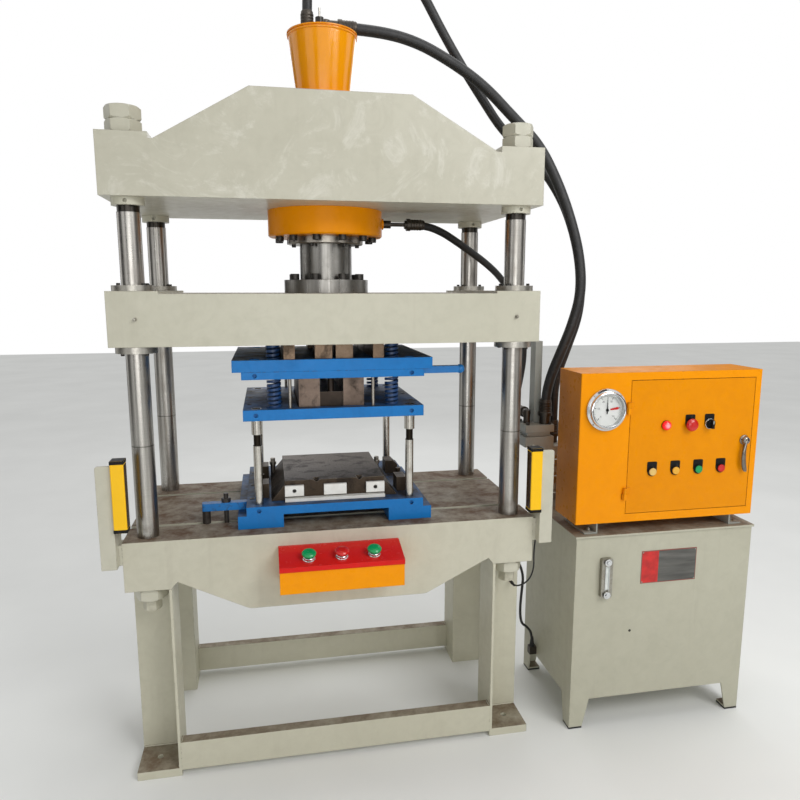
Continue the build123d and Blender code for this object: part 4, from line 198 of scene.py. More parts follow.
def paint(name, colour, deep, worn, dust, roughness=0.42, dust_share=0.5, grime=0.35, edge=0.003,
          shine=0.5, runs=0.25, scuffs=0.0, left_side_shade_and_grime=None):
    """Enamel on welded steel: mottled, smudged, dusty on its upper faces and worn at its edges.

    Scuffs add pale scrapes, and a dark colour for the faces that look to the left paints shade there, partly
    oil grime.
    """
    s = Shader(name)
    tone = s.band(s.noise(2.2, 4, 0.6), 0.3, 0.72)
    fine = s.band(s.noise(38, 5, 0.6), 0.35, 0.7)
    shade = s.mix(s.times(tone, 0.35), colour, deep)
    shade = s.mix(s.times(fine, 0.14), shade, deep)
    swirl = s.band(s.noise(13, 6, 0.65, distortion=1.8), 0.46, 0.62, 0.0, 0.16)
    shade = s.mix(swirl, shade, deep)
    streaks = s.times(s.band(s.noise(24, 5, 0.6, stretch=(1, 1, 0.07)), 0.56, 0.78), runs)
    shade = s.mix(streaks, shade, dust)
    smudge = s.times(s.band(s.noise(7.5, 9, 0.68, distortion=0.4), 0.55, 0.74), grime)
    shade = s.mix(smudge, shade, deep)
    if scuffs:
        pale = s.band(s.noise(5.5, 9, 0.76, distortion=2.4), 0.52, 0.66, 0.0, scuffs)
        shade = s.mix(pale, shade, "e4e2d8")
    if left_side_shade_and_grime:
        # Painted shade on the faces that look to the left, partly oil grime.
        left = s.band(s.axis("X", s.normal), -0.95, -0.8, 1.0, 0.0)
        left_shade_and_grime_share = s.times(left, s.band(s.noise(3.5, 6, 0.6), 0.35, 0.65, 0.35, 0.62))
        shade = s.mix(left_shade_and_grime_share, shade, left_side_shade_and_grime)
    # Upward faces take the dust colour: dust, and for the die plates partly painted shade.
    top = s.band(s.axis("Z", s.normal), 0.75, 0.95)
    dusty = s.times(top, s.band(s.noise(11, 7, 0.7), 0.3, 0.62, 0.45, 1.0))
    dusty = s.times(dusty, dust_share)
    shade = s.mix(dusty, shade, dust)
    chips = s.band(s.noise(75, 6, 0.7), 0.52, 0.6)
    rub = s.times(s.edges(edge), s.times(chips, 0.8))
    shade = s.mix(rub, shade, worn)
    rough = s.plus(s.band(fine, 0, 1, roughness - 0.05, roughness + 0.09),
                   s.times(s.plus(dusty, smudge), 0.25))
    peel = s.plus(s.times(s.noise(420, 2, 0.5), 0.5), s.times(s.noise(9, 3, 0.5), 1.6))
    normal = s.bump(s.maths("SUBTRACT", peel, rub), 0.35, 0.0009, s.soft_edges(0.0022))
    return s.finish(shade, rough, normal, Specular_IOR_Level=shine)


def metal(name, colour, deep, stain, roughness=0.3, grain=(1, 1, 1), grain_scale=220.0, stain_share=0.4,
          edge_wear_and_highlight=None, soft=0.0015):
    """Bare metal with its machining grain, patches of stain and edges in a brighter or darker tone: rubbed
    wear on the die block, a painted highlight on the lever.
    """
    s = Shader(name)
    streak = s.noise(grain_scale, 3, 0.6, stretch=grain)
    tone = s.band(s.noise(5.5, 5, 0.62), 0.35, 0.68)
    shade = s.mix(s.times(tone, 0.55), colour, deep)
    shade = s.mix(s.band(streak, 0.4, 0.75, 0.0, 0.35), shade, deep)
    blot = s.times(s.band(s.noise(17, 8, 0.7, distortion=0.6), 0.5, 0.68), stain_share)
    shade = s.mix(blot, shade, stain)
    # Edges mixed towards their own tone: rubbed wear, and on the lever a painted highlight.
    if edge_wear_and_highlight:
        shade = s.mix(s.times(s.edges(0.002), 0.7), shade, edge_wear_and_highlight)
    rough = s.plus(s.band(streak, 0.3, 0.75, roughness - 0.06, roughness + 0.1), s.times(blot, 0.3))
    normal = s.bump(s.plus(streak, blot), 0.25, 0.0004, s.soft_edges(soft))
    return s.finish(shade, rough, normal, metallic=s.band(blot, 0, 1, 1.0, 0.55))


def plastic(name, colour, deep, roughness=0.3, grain=260.0, scuff=0.3, **constants):
    """Moulded plastic or rubber with fine grain, scuffs and a little dust in its tone."""
    s = Shader(name)
    tone = s.band(s.noise(30, 4, 0.6), 0.35, 0.7)
    scuffs = s.times(s.band(s.noise(90, 6, 0.7), 0.56, 0.68), scuff)
    shade = s.mix(s.times(tone, 0.5), colour, deep)
    shade = s.mix(s.times(scuffs, 0.35), shade, "9a958a")
    rough = s.plus(s.band(tone, 0, 1, roughness - 0.04, roughness + 0.06), s.times(scuffs, 0.3))
    normal = s.bump(s.noise(grain, 3, 0.5), 0.2, 0.0003, s.soft_edges(0.001))
    return s.finish(shade, rough, normal, **constants)


def column_metal():
    """Ground column: bright, with fine turning lines, a dark neck, a wiped ring and a painted foot."""
    s = Shader("column_steel")
    z = s.axis("Z")
    turning = s.noise(700, 2, 0.5, stretch=(0.02, 0.02, 1))
    drawn = s.noise(90, 4, 0.6, stretch=(1, 1, 0.02))
    shade = s.mix(s.band(drawn, 0.42, 0.7, 0.0, 0.6), "b4b1ab", "716d67")
    shade = s.mix(s.band(turning, 0.45, 0.8, 0.0, 0.2), shade, "6d6861")
    oil = s.band(s.noise(6, 7, 0.68, stretch=(1, 1, 0.5)), 0.5, 0.72, 0.0, 0.5)
    shade = s.mix(oil, shade, "6b5844")
    dirty_end = s.times(s.band(z, 0.72, 0.80, 0.55, 0.0), s.band(s.noise(40, 5), 0.4, 0.6))
    shade = s.mix(dirty_end, shade, "4a3a2c")
    wiped_ring = s.times(s.between(z, 0.986, 0.9895, 0.0008), 0.6)
    shade = s.mix(wiped_ring, shade, "3d3a36")
    neck = s.between(z, 1.612, 1.630, 0.0006)
    shade = s.mix(neck, shade, "3f3c38")
    pitch = 0.004
    threads = s.times(s.maths("SINE", s.times(z, 2 * math.pi / pitch)), 0.5)
    thread_zone = s.plus(s.band(z, 1.80, 1.802), s.band(z, 0.5825, 0.5835, 1.0, 0.0))
    foot = s.band(z, 0.5425, 0.5435, 1.0, 0.0)
    cream = s.mix(s.band(s.noise(45, 6), 0.4, 0.7, 0.0, 0.5), "c1beac", "8f8a76")
    shade = s.mix(foot, shade, cream)
    rough = s.plus(s.band(drawn, 0.3, 0.8, 0.24, 0.36), s.times(oil, 0.3))
    rough = s.plus(rough, s.times(foot, 0.3))
    height = s.plus(s.times(turning, 0.25), s.times(threads, thread_zone))
    normal = s.bump(height, 0.3, 0.0004, s.soft_edges(0.001))
    return s.finish(shade, rough, normal, metallic=s.band(s.plus(foot, oil), 0, 1, 1.0, 0.0))


def post_steel():
    """Guide posts and sleeves: ground and bright, with a dark band that is partly painted reflection and
    partly oil, a dark sleeve top and oil at the foot.
    """
    s = Shader("guide_post_steel")
    z = s.axis("Z")
    drawn = s.noise(120, 4, 0.6, stretch=(1, 1, 0.03))
    shade = s.mix(s.band(drawn, 0.4, 0.7, 0.0, 0.5), "cbc7bf", "8a847a")
    shade = s.mix(s.band(s.noise(30, 5), 0.5, 0.7, 0.0, 0.4), shade, "6a5540")
    # Dark band on the posts: partly a painted reflection, partly oil.
    neck = s.between(z, 0.966, 1.0, 0.0008)
    shade = s.mix(neck, shade, "2a251f")
    oily_foot = s.band(z, 0.764, 0.80, 0.7, 0.0)
    shade = s.mix(oily_foot, shade, "3a2d21")
    sleeve_top = s.band(z, 1.0743, 1.0747)
    shade = s.mix(sleeve_top, shade, "35302a")
    rough = s.band(drawn, 0.3, 0.8, 0.16, 0.3)
    return s.finish(shade, rough, s.bump(drawn, 0.2, 0.0003, s.soft_edges(0.0006)), metallic=1.0)


def punch_steel():
    """Punch blocks: brown oiled steel, with the bar between them nearly black."""
    s = Shader("punch_block_steel")
    grain = s.noise(200, 3, 0.6)
    shade = s.mix(s.band(s.noise(9, 6, 0.65), 0.35, 0.68, 0.0, 0.8), "7d6d62", "51453d")
    blot = s.band(s.noise(22, 8, 0.7, distortion=0.8), 0.5, 0.66, 0.0, 0.8)
    shade = s.mix(blot, shade, "2f2318")
    middle_bar = s.between(s.axis("X"), -0.0404, 0.0264, 0.0002)
    shade = s.mix(s.times(middle_bar, 0.8), shade, "17130f")
    shade = s.mix(s.times(s.edges(0.0018), 0.6), shade, "a09484")
    rough = s.plus(s.band(grain, 0.3, 0.7, 0.36, 0.48), s.times(blot, 0.2))
    normal = s.bump(grain, 0.3, 0.0004, s.soft_edges(0.001))
    return s.finish(shade, rough, normal, metallic=s.band(blot, 0, 1, 0.9, 0.4))


def clamp_enamel():
    """Clamp: blue bar, with its stud, nut and jack in dark oiled steel."""
    s = Shader("clamp_enamel")
    bar = s.between(s.axis("Z"), 0.764, 0.7872, 0.0003)
    blue = s.mix(s.band(s.noise(14, 5, 0.6), 0.35, 0.7, 0.0, 0.6), "1277c0", "0e5d9c")
    blue = s.mix(s.band(s.noise(60, 6, 0.7), 0.52, 0.62, 0.0, 0.6), blue, "2e3a44")
    steel = s.mix(s.band(s.noise(40, 5, 0.65), 0.35, 0.7), "3c3732", "1f1b17")
    shade = s.mix(bar, steel, blue)
    grain = s.noise(300, 2, 0.5)
    rough = s.band(grain, 0.3, 0.7, 0.36, 0.46)
    return s.finish(shade, rough, s.bump(grain, 0.2, 0.0004, s.soft_edges(0.0015)), Specular_IOR_Level=0.35)


def lid_enamel():
    """Bucket lid: glossy orange, with a dark breather and a thin steel rod on it."""
    s = Shader("lid_enamel")
    z = s.axis("Z")
    orange = s.mix(s.band(s.noise(12, 5, 0.6), 0.35, 0.7, 0.0, 0.6), "f89c00", "e08400")
    dark = s.mix(s.band(s.noise(60, 4), 0.35, 0.7), "33302c", "1c1a18")
    steel = s.mix(s.band(s.noise(90, 4), 0.35, 0.7), "b9b6ae", "86827a")
    breather = s.band(z, 2.1588, 2.1592)
    rod = s.band(z, 2.2068, 2.2072)
    shade = s.mix(rod, s.mix(breather, orange, dark), steel)
    grain = s.noise(300, 2, 0.5)
    normal = s.bump(grain, 0.2, 0.0003, s.soft_edges(0.0015))
    return s.finish(shade, s.band(grain, 0.3, 0.7, 0.2, 0.3), normal, metallic=rod, Specular_IOR_Level=0.3)


def lit_lens():
    """Pilot lens that glows red, with a paler middle."""
    s = Shader("lit_red_lens")
    x = s.maths("SUBTRACT", s.axis("X"), PILOT_LAMP[0] / 1000)
    z = s.maths("SUBTRACT", s.axis("Z"), PILOT_LAMP[1] / 1000)
    radius = s.maths("SQRT", s.plus(s.times(x, x), s.times(z, z)))
    grain = s.noise(500, 2, 0.5)
    middle = s.band(radius, 0.004, 0.0105, 1.0, 0.0)
    shade = s.mix(middle, "e8141e", "ff8f98")
    s.put(s.bsdf.inputs["Emission Color"], shade)
    return s.finish(shade, s.band(grain, 0.3, 0.7, 0.1, 0.16), Emission_Strength=0.45)


def clear_glass():
    """Thin clear cover with faint dust in its gloss."""
    s = Shader("clear_glass")
    haze = s.band(s.noise(60, 4, 0.6), 0.4, 0.8, 0.02, 0.12)
    shade = s.mix(haze, "fbfcfc", "d8dcda")
    return s.finish(shade, haze, Transmission_Weight=1.0, IOR=1.3, Alpha=0.35)


def plate_face():
    """Bare two-tone plate: its left third red, the rest etched grey, with a worn border."""
    s = Shader("nameplate_face")
    x = s.axis("X")
    z = s.axis("Z")
    etched = s.noise(60, 3, 0.6, stretch=(0.1, 1, 1))
    grey = s.mix(s.band(etched, 0.35, 0.7), "6d6c68", "50504d")
    red = s.mix(s.band(s.noise(35, 5), 0.4, 0.7), "d0231f", "a91a18")
    right_part = s.band(x, 1.0195, 1.0205)
    shade = s.mix(right_part, red, grey)
    left, right = (place / 1000 for place in NAMEPLATE_X)
    bottom, top = (place / 1000 for place in NAMEPLATE_Z)
    for border in (s.band(x, left + 0.003, left + 0.0025), s.band(x, right - 0.0025, right - 0.002),
                   s.band(z, bottom + 0.003, bottom + 0.0025), s.band(z, top - 0.003, top - 0.0025)):
        shade = s.mix(border, shade, "8f5148")
    rough = s.band(etched, 0.3, 0.8, 0.28, 0.45)
    return s.finish(shade, rough, s.bump(etched, 0.2, 0.0003), metallic=s.times(right_part, 0.5))


# Materials
CREAM = paint("cream_enamel", "c7c4b3", "acaa97", "6b6455", "8d8473", roughness=0.36, grime=0.28, runs=0.16)
CREAM_CROWN = paint("crown_enamel", "c5c2b1", "a9a693", "6b6455", "8d8473", roughness=0.34, grime=0.28,
                    runs=0.12, scuffs=0.4)
CREAM_BED = paint("bed_enamel", "c9c6b4", "aeaa97", "6b6455", "5c4330", dust_share=0.99, grime=0.25,
                  runs=0.1, shine=0.2)
CREAM_SLIDE = paint("slide_enamel", "c7c4b2", "acaa97", "6b6455", "8a7865", dust_share=0.85, runs=0.12)
CREAM_LEG = paint("leg_enamel", "cac7b3", "b0ac98", "6b6455", "66543f", roughness=0.45, dust_share=0.97,
                  grime=0.14, runs=0.08)
CREAM_TANK = paint("tank_enamel", "bbb9a6", "a3a08d", "6b6455", "6a5644", dust_share=0.95, grime=0.25,
                   runs=0.12)
ORANGE = paint("orange_enamel", "f89c00", "e48600", "8a4b10", "c07a20", roughness=0.3, dust_share=0.3,
               grime=0.2, shine=0.14, runs=0.03)
# Cabinet: its faces that look to the left get painted shade, partly oil grime.
ORANGE_CABINET = paint("cabinet_enamel", "f89c00", "e48600", "8a4b10", "b0702a", roughness=0.3,
                       dust_share=0.55, grime=0.2, shine=0.14, runs=0.03, left_side_shade_and_grime="6a3308")
ORANGE_BUCKET = paint("bucket_enamel", "fca400", "ec9200", "8a4b10", "c07a20", roughness=0.13, dust_share=0.1,
                      grime=0.15, shine=0.6, runs=0.0)
ORANGE_DOOR = paint("door_enamel", "ec9400", "d67c00", "8a4b10", "c07a20", roughness=0.3, dust_share=0.3,
                    grime=0.25, shine=0.14, runs=0.03)
BLUE = paint("blue_enamel", "1277c0", "0e5d9c", "4c5a68", "2f4c66", roughness=0.36, grime=0.3, runs=0.1)
# Die plates: the dark colour on their upward faces is partly grime and partly painted shade under the slide.
BLUE_DIE = paint("die_enamel", "1277c0", "0e5d9c", "49443e", "2e2822", roughness=0.34, dust_share=0.97,
                 runs=0.1, edge=0.004, shine=0.25)
RED = paint("red_enamel", "dc1a16", "b3120f", "5a2018", "b8463c", roughness=0.2, dust_share=0.12, grime=0.2,
            shine=0.2, runs=0.03)
YELLOW = paint("yellow_enamel", "ffc806", "ecb306", "7a6220", "cdb060", roughness=0.36, dust_share=0.3,
               shine=0.35, runs=0.05)
GREY = paint("grey_enamel", "a4a69f", "85877f", "5f5d57", "8d8473", roughness=0.45)
STEEL = metal("ground_steel", "a8a39a", "7f786e", "6a4f38")
NUT_STEEL = metal("nut_steel", "b5b2aa", "8a867c", "6d6353", roughness=0.36, stain_share=0.3)
COLUMN = column_metal()
CHROME = metal("hard_chrome", "9a9893", "64615c", "4b4136", grain=(1, 1, 0.03), grain_scale=160,
               stain_share=0.25)
BRIGHT = metal("bright_chrome", "dcdedf", "a9abab", "7a756c", roughness=0.08, grain_scale=90,
               stain_share=0.08, soft=0.0006)
SCREW = metal("black_screw", "4a4845", "2c2a28", "3f3226", roughness=0.4, soft=0.0005)
ZINC = metal("zinc_screw", "a9a69c", "7d7a70", "6b5f4a", roughness=0.33, soft=0.0005)
DARK_STEEL = metal("dark_steel", "55504a", "33302c", "4a3526", roughness=0.42)
TOOL = metal("oiled_tool_steel", "7a6858", "544536", "33261b", roughness=0.4, stain_share=0.75)
BLOCK = metal("die_block_steel", "4a4037", "30281f", "1f1710", roughness=0.44, stain_share=0.85,
              edge_wear_and_highlight="8f8576")
SPRING = paint("spring_enamel", "1a4070", "102c50", "30343a", "263b55", roughness=0.32, runs=0.05)
WHITE = plastic("white_insert", "ecebe6", "d2cec4")
BLACK = plastic("black_plastic", "101011", "080808", roughness=0.45, Specular_IOR_Level=0.2)
RUBBER = plastic("black_rubber", "1c1c1d", "101010", roughness=0.5, grain=480)
BUTTON_RED = plastic("red_button", "d0201c", "a81410", roughness=0.18)
BUTTON_GREEN = plastic("green_button", "0fa05a", "0b7a42", roughness=0.2)
BUTTON_YELLOW = plastic("yellow_button", "eeb33a", "d99a1c", roughness=0.2)
BUTTON_PALE = plastic("pale_yellow_button", "e6c377", "cfa650", roughness=0.2)
LIT_RED = lit_lens()
LID = lid_enamel()
CLAMP = clamp_enamel()
# Lever: its near-white edges are a painted highlight.
LEVER = metal("lever_chrome", "9a948c", "4c443b", "3a2f25", roughness=0.14, grain_scale=70, stain_share=0.35,
              edge_wear_and_highlight="e6e4e0", soft=0.0008)
DIAL = plastic("dial_face", "e8e9e6", "d2d4d0", scuff=0.05)
SMOKED = plastic("smoked_window", "3a2418", "24160e", roughness=0.08, scuff=0.1)
SIGHT = plastic("sight_strip", "dfe3df", "b9bfb8", roughness=0.12, scuff=0.1)
GLASS = clear_glass()
PLATE = plate_face()
POST = post_steel()
PUNCH = punch_steel()

FINISHES = {
    "legs": CREAM_LEG, "stretchers": CREAM_LEG, "bed": CREAM_BED, "columns": COLUMN, "column_nuts": CREAM,
    "collar_nuts": CREAM, "crown": CREAM_CROWN, "cylinder_barrel": ORANGE, "cylinder_gland": STEEL,
    "ram": CHROME, "oil_bucket": ORANGE_BUCKET, "bucket_lid": LID, "slide": CREAM_SLIDE,
    "slide_bushes": NUT_STEEL, "upper_die_plate": BLUE_DIE, "punch_plate": BLUE_DIE, "riser_blocks": TOOL,
    "punch_blocks": PUNCH, "stripper_plate": BLUE_DIE, "guide_sleeves": POST, "stripper_bolts": STEEL,
    "die_springs": SPRING, "side_bar": BLUE, "lower_die_shoe": BLUE_DIE, "guide_posts": POST,
    "lower_die_block": BLOCK, "die_inserts": WHITE, "die_clamp": CLAMP, "tank": CREAM_TANK,
    "tank_lid": CREAM_TANK, "tank_pads": RUBBER,
    "level_gauge": ZINC, "cabinet_feet": GREY, "cabinet": ORANGE_CABINET, "cabinet_door": ORANGE_DOOR,
    "door_handle": BRIGHT, "pressure_gauge": BRIGHT, "gauge_needle": BLACK, "pump_set": GREY,
    "valve_manifold": GREY, "button_bezels": BLACK, "push_button_1": BUTTON_PALE,
    "push_button_2": BUTTON_YELLOW, "push_button_3": BUTTON_GREEN, "push_button_4": BUTTON_RED,
    "door_estop": BUTTON_RED, "selector_knob": BLACK, "control_box": ORANGE, "control_box_lid": RED,
    "palm_left": BUTTON_GREEN, "palm_right": BUTTON_GREEN, "box_estop": BUTTON_RED,
    "curtain_brackets": CREAM, "light_curtains": YELLOW, "hose_fittings": DARK_STEEL,
    "hose_1": RUBBER, "hose_2": RUBBER, "hose_3": RUBBER, "control_cable": RUBBER, "curtain_cable": RUBBER,
}


def dress_nodes():
    for name, material in FINISHES.items():
        slots = NODES[name].data.materials
        if not slots:
            slots.append(material)
        for index in range(len(slots)):
            slots[index] = material


dress_nodes()


# Hoses and cables: the diameter in millimetres, the length in metres, and the route's points in millimetres.
CORD_ROUTES = {
    "hose_1": (34.0, 1.690, [
        (60, 66, 2206), (165, 66, 2206), (295, 70, 2186), (415, 70, 2132), (525, 62, 2062),
        (622, 42, 1962), (702, 20, 1880), (758, -4, 1765), (800, -22, 1650), (832, -40, 1520),
        (838, -50, 1400), (816, -38, 1296), (790, -20, 1210), (766, 4, 1125), (757, 24, 1045),
        (757, 24, 985)]),
    "hose_2": (30.0, 2.279, [
        (-40, 52, 2190), (-40, 52, 2280), (-28, 58, 2370), (18, 68, 2450), (100, 80, 2490),
        (190, 94, 2480), (268, 106, 2424), (330, 114, 2346), (390, 118, 2248), (458, 120, 2145),
        (530, 118, 2045), (612, 110, 1930), (736, 92, 1830), (812, 70, 1715), (855, 52, 1590),
        (876, 32, 1460), (870, 24, 1330), (836, 40, 1210), (806, 60, 1100), (806, 66, 1000), (806, 66, 902)]),
    "hose_3": (24.0, 1.063, [
        (262, 0, 1615), (315, 0, 1615), (375, 15, 1597), (432, 42, 1569), (492, 76, 1538),
        (556, 112, 1504), (620, 152, 1462), (682, 190, 1400), (728, 214, 1318), (750, 228, 1232),
        (752, 232, 1150), (740, 230, 1078), (714, 196, 1019), (698, 137, 985), (698, 75, 985)]),
    "control_cable": (9.0, 0.500, [
        (614, -60, 600), (614, -60, 555), (634, -60, 500), (662, -60, 436), (657, -60, 375),
        (653, -58, 305), (664, -45, 246), (694, -24, 220), (722, -10, 182), (722, -10, 135)]),
    "curtain_cable": (5.0, 0.323, [
        (624, -262, 738), (624, -262, 700), (618, -258, 645), (616, -254, 590), (619, -252, 548),
        (612, -248, 512), (596, -240, 488), (580, -225, 474), (572, -206, 468), (572, -186, 468)]),
}


def add_cord(name, diameter, route):
    curve = bpy.data.curves.new(name, "CURVE")
    curve.dimensions = "3D"
    curve.bevel_depth = diameter / 2 / 1000
    curve.bevel_resolution = 5
    curve.resolution_u = 12
    curve.use_fill_caps = True
    spline = curve.splines.new("NURBS")
    spline.points.add(len(route) - 1)
    places = [Vector(point) / 1000 for point in route]
    for point, place in zip(spline.points, places):
        point.co = (*place, 1.0)
    spline.order_u = 3
    spline.use_endpoint_u = True
    piece = add_object(name + "_line", curve)
    curve.materials.append(RUBBER)
    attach(piece, "frame")
    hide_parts(name)


for cord_name, (cord_diameter, cord_length, cord_route) in CORD_ROUTES.items():
    add_cord(cord_name, cord_diameter, cord_route)


# Mesh helpers, in millimetres

UP = (0, 0, 1)
DOWN = (0, 0, -1)
FRONT = (0, -1, 0)
LEFT = (-1, 0, 0)
RIGHT = (1, 0, 0)
DIAGONALS = [math.pi / 4, 3 * math.pi / 4, 5 * math.pi / 4, 7 * math.pi / 4]


def aim(place, direction):
    """Matrix that puts the origin at the place and turns +Z along the direction."""
    turn = Vector(direction).to_track_quat("Z", "Y").to_matrix().to_4x4()
    return Matrix.Translation(Vector(place) / 1000) @ turn


def facing_front(y):
    """Matrix that stands an (x, z) outline upright at y, so that it is extruded towards the front."""
    return Matrix.Translation((0, y / 1000, 0)) @ Matrix.Rotation(math.pi / 2, 4, "X")


def rectangle(x, y):
    return [(x[0], y[0]), (x[1], y[0]), (x[1], y[1]), (x[0], y[1])]


def turns(count, start=0.0):
    """Angles spread evenly over a full turn."""
    return [start + 2 * math.pi * step / count for step in range(count)]


class Maker:
    """One mesh piece, built from turned, extruded and swept shapes."""

    def __init__(self):
        self.mesh = bmesh.new()

    def vertex(self, matrix, x, y, z):
        return self.mesh.verts.new(matrix @ (Vector((x, y, z)) / 1000))

    def ring(self, matrix, radius, height, steps):
        return [self.vertex(matrix, radius * math.cos(a), radius * math.sin(a), height) for a in turns(steps)]

    def face(self, corners, material=0):
        made = self.mesh.faces.new(corners)
        made.material_index = material

    def join(self, rings):
        """Sides between rings that have as many points each."""
        for low, high in zip(rings, rings[1:]):
            for step in range(len(low)):
                after = (step + 1) % len(low)
                self.face((low[step], low[after], high[after], high[step]))

    def close(self, rings):
        """Flat ends on the first and last ring."""
        self.face(list(reversed(rings[0])))
        self.face(rings[-1])

    def turned(self, points, matrix, steps=24):
        """Turn (radius, height) points about the matrix's Z axis; a radius of 0 closes an end."""
        rings = []
        for radius, height in points:
            rings.append(self.ring(matrix, radius, height, steps if radius else 1))
        for low, high in zip(rings, rings[1:]):
            for step in range(steps):
                after = (step + 1) % steps
                if len(low) == 1:
                    self.face((low[0], high[after], high[step]))
                elif len(high) == 1:
                    self.face((low[step], low[after], high[0]))
                else:
                    self.face((low[step], low[after], high[after], high[step]))

    def prism(self, outline, low, high, matrix, bevel):
        """Extrude an (x, y) outline from low to high along the matrix's Z axis, with bevelled rims."""
        middle_x = sum(x for x, _ in outline) / len(outline)
        middle_y = sum(y for _, y in outline) / len(outline)
        offsets = [(x - middle_x, y - middle_y) for x, y in outline]
        shrink = 1 - bevel / max(max(abs(x), abs(y)) for x, y in offsets)
        rings = []
        for height, share in ((low, shrink), (low + bevel, 1.0), (high - bevel, 1.0), (high, shrink)):
            rings.append([self.vertex(matrix, middle_x + share * x, middle_y + share * y, height)
                          for x, y in offsets])
        self.join(rings)
        self.close(rings)

    def box(self, x, y, z, bevel):
        """Block over the given ranges, with bevelled rims at its ends in Z."""
        self.prism(rectangle(x, y), z[0], z[1], Matrix.Identity(4), bevel)

    def sweep(self, points, radii, steps=8):
        """Round tube along a line of points, with a radius for each."""
        rings = []
        for index, (point, radius) in enumerate(zip(points, radii)):
            before = points[max(index - 1, 0)]
            after = points[min(index + 1, len(points) - 1)]
            rings.append(self.ring(aim(point, after - before), radius, 0, steps))
        self.join(rings)
        self.close(rings)

    def socket_screw(self, place, direction, diameter, height):
        """Round head with a chamfered rim and a flat-bottomed socket."""
        r = diameter / 2
        self.turned([(r, 0), (r, height - 0.6), (r - 0.8, height), (0.52 * r, height),
                     (0.48 * r, height - 0.4), (0.48 * r, 0.45 * height), (0, 0.45 * height)],
                    aim(place, direction))

    def hex_bolt(self, place, direction, across, height, washer, tip=0):
        """Hexagon head on a washer, with the tip of its stud over it when asked."""
        matrix = aim(place, direction)
        rim = 1.05 * across
        self.turned([(0, 0), (rim, 0), (rim, washer), (0.4 * across, washer)], matrix, 28)
        radius = across / math.sqrt(3)
        outline = [(radius * math.cos(a), radius * math.sin(a)) for a in turns(6)]
        top = washer + height
        self.prism(outline, washer, top, matrix, 0.08 * across)
        if tip:
            self.turned([(0.33 * across, top - 1), (0.33 * across, top + tip - 1), (0.27 * across, top + tip),
                         (0, top + tip)], matrix, 20)

    def put(self, name, materials, slot, body="frame", angle=35.0):
        """Make the object, smooth it up to the angle, and let it ride on the body."""
        bmesh.ops.recalc_face_normals(self.mesh, faces=self.mesh.faces[:])
        for made in self.mesh.faces:
            made.smooth = True
        for edge in self.mesh.edges:
            if len(edge.link_faces) == 2:
                edge.smooth = edge.calc_face_angle(0.0) < math.radians(angle)
        data = bpy.data.meshes.new(name)
        self.mesh.to_mesh(data)
        self.mesh.free()
        for material in materials:
            data.materials.append(material)
        piece = add_object(name, data)
        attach(piece, body)
        return piece


# Screws and bolts

def ring_places(radius, count, z, start=0.0):
    """Places on a circle round the press axis."""
    return [(radius * math.cos(a), radius * math.sin(a), z) for a in turns(count, start)]


def screws(name, places, direction, diameter, height, body="frame"):
    """Group of socket screws, given by the size of their heads."""
    maker = Maker()
    for place in places:
        maker.socket_screw(place, direction, diameter, height)
    maker.put(name, [SCREW], "dark_steel", body)


def add_screws():
    places = ring_places(107, 8, RAM_FLANGE_TOP, math.pi / 8)
    screws("ram_flange_screws", places, UP, diameter=27, height=18, body="slide")
    places = ring_places(146, 12, CYLINDER_BOTTOM, math.pi / 12)
    screws("cylinder_flange_screws", places, DOWN, diameter=24, height=15)
    screws("gland_screws", ring_places(98, 6, GLAND_BOTTOM), DOWN, diameter=13, height=8)
    reach = 44
    bush = [(x + reach * math.cos(a), y + reach * math.sin(a)) for x, y in COLUMN_PLACES for a in DIAGONALS]
    places = [(x, y, BUSH_TOP) for x, y in bush]
    screws("bush_screws_top", places, UP, diameter=10, height=6, body="slide")
    places = [(x, y, BUSH_BOTTOM) for x, y in bush]
    screws("bush_screws_bottom", places, DOWN, diameter=10, height=6, body="slide")
    sunk = 0.8
    places = [(x, y, STRIPPER_TOP - sunk) for x in (-246, 246) for y in (-130, 0, 130)]
    screws("stripper_screws", places, UP, diameter=15, height=2.2, body="stripper")
    places = [(x, y, DIE_SHOE_TOP - sunk) for x in (-246, 246) for y in (-150, 0, 150)]
    screws("die_shoe_screws", places, UP, diameter=17, height=2.4)
    places = [(x, BLOCK_FRONT - 1, 820) for x in (-122, 122)]
    screws("insert_screws", places, FRONT, diameter=10, height=7)
    places = [(x, y, 950) for x in (688, 768) for y in (8, 82)]
    screws("valve_screws", places, UP, diameter=13, height=8)


def add_foot_bolts():
    bolts = Maker()
    for x in (791, 1293):
        for y in (-265, -165):
            bolts.hex_bolt((x, y, 661), UP, 13, 6, washer=1.6, tip=3)
    bolts.put("cabinet_foot_bolts", [ZINC], "ground_steel")


def add_grease_nipples():
    nipples = Maker()
    for x in (-526, 526):
        nipples.turned([(0, 0), (5.5, 0), (5.5, 4), (2.6, 4), (2.6, 7), (3.6, 9), (2.8, 11.5), (0, 12)],
                       aim((x, SLIDE_FRONT, 1335), FRONT), 18)
    nipples.put("grease_nipples", [ZINC], "ground_steel", "slide")


def add_bracket_bolts():
    """Hexagon bolts that hold the curtain brackets, and the screws of the curtains on them."""
    bolts = Maker()
    for way, bottom in ((LEFT, 662), (RIGHT, 650)):
        x = 609 * way[0]
        for z in (bottom + 22, bottom + 50):
            bolts.hex_bolt((x, -262, z), way, 13, 6, washer=1.6)
        for z in (bottom + 118, bottom + 276):
            bolts.socket_screw((x, -302, z), way, 8.5, 5)
    bolts.put("bracket_bolts", [ZINC], "ground_steel")


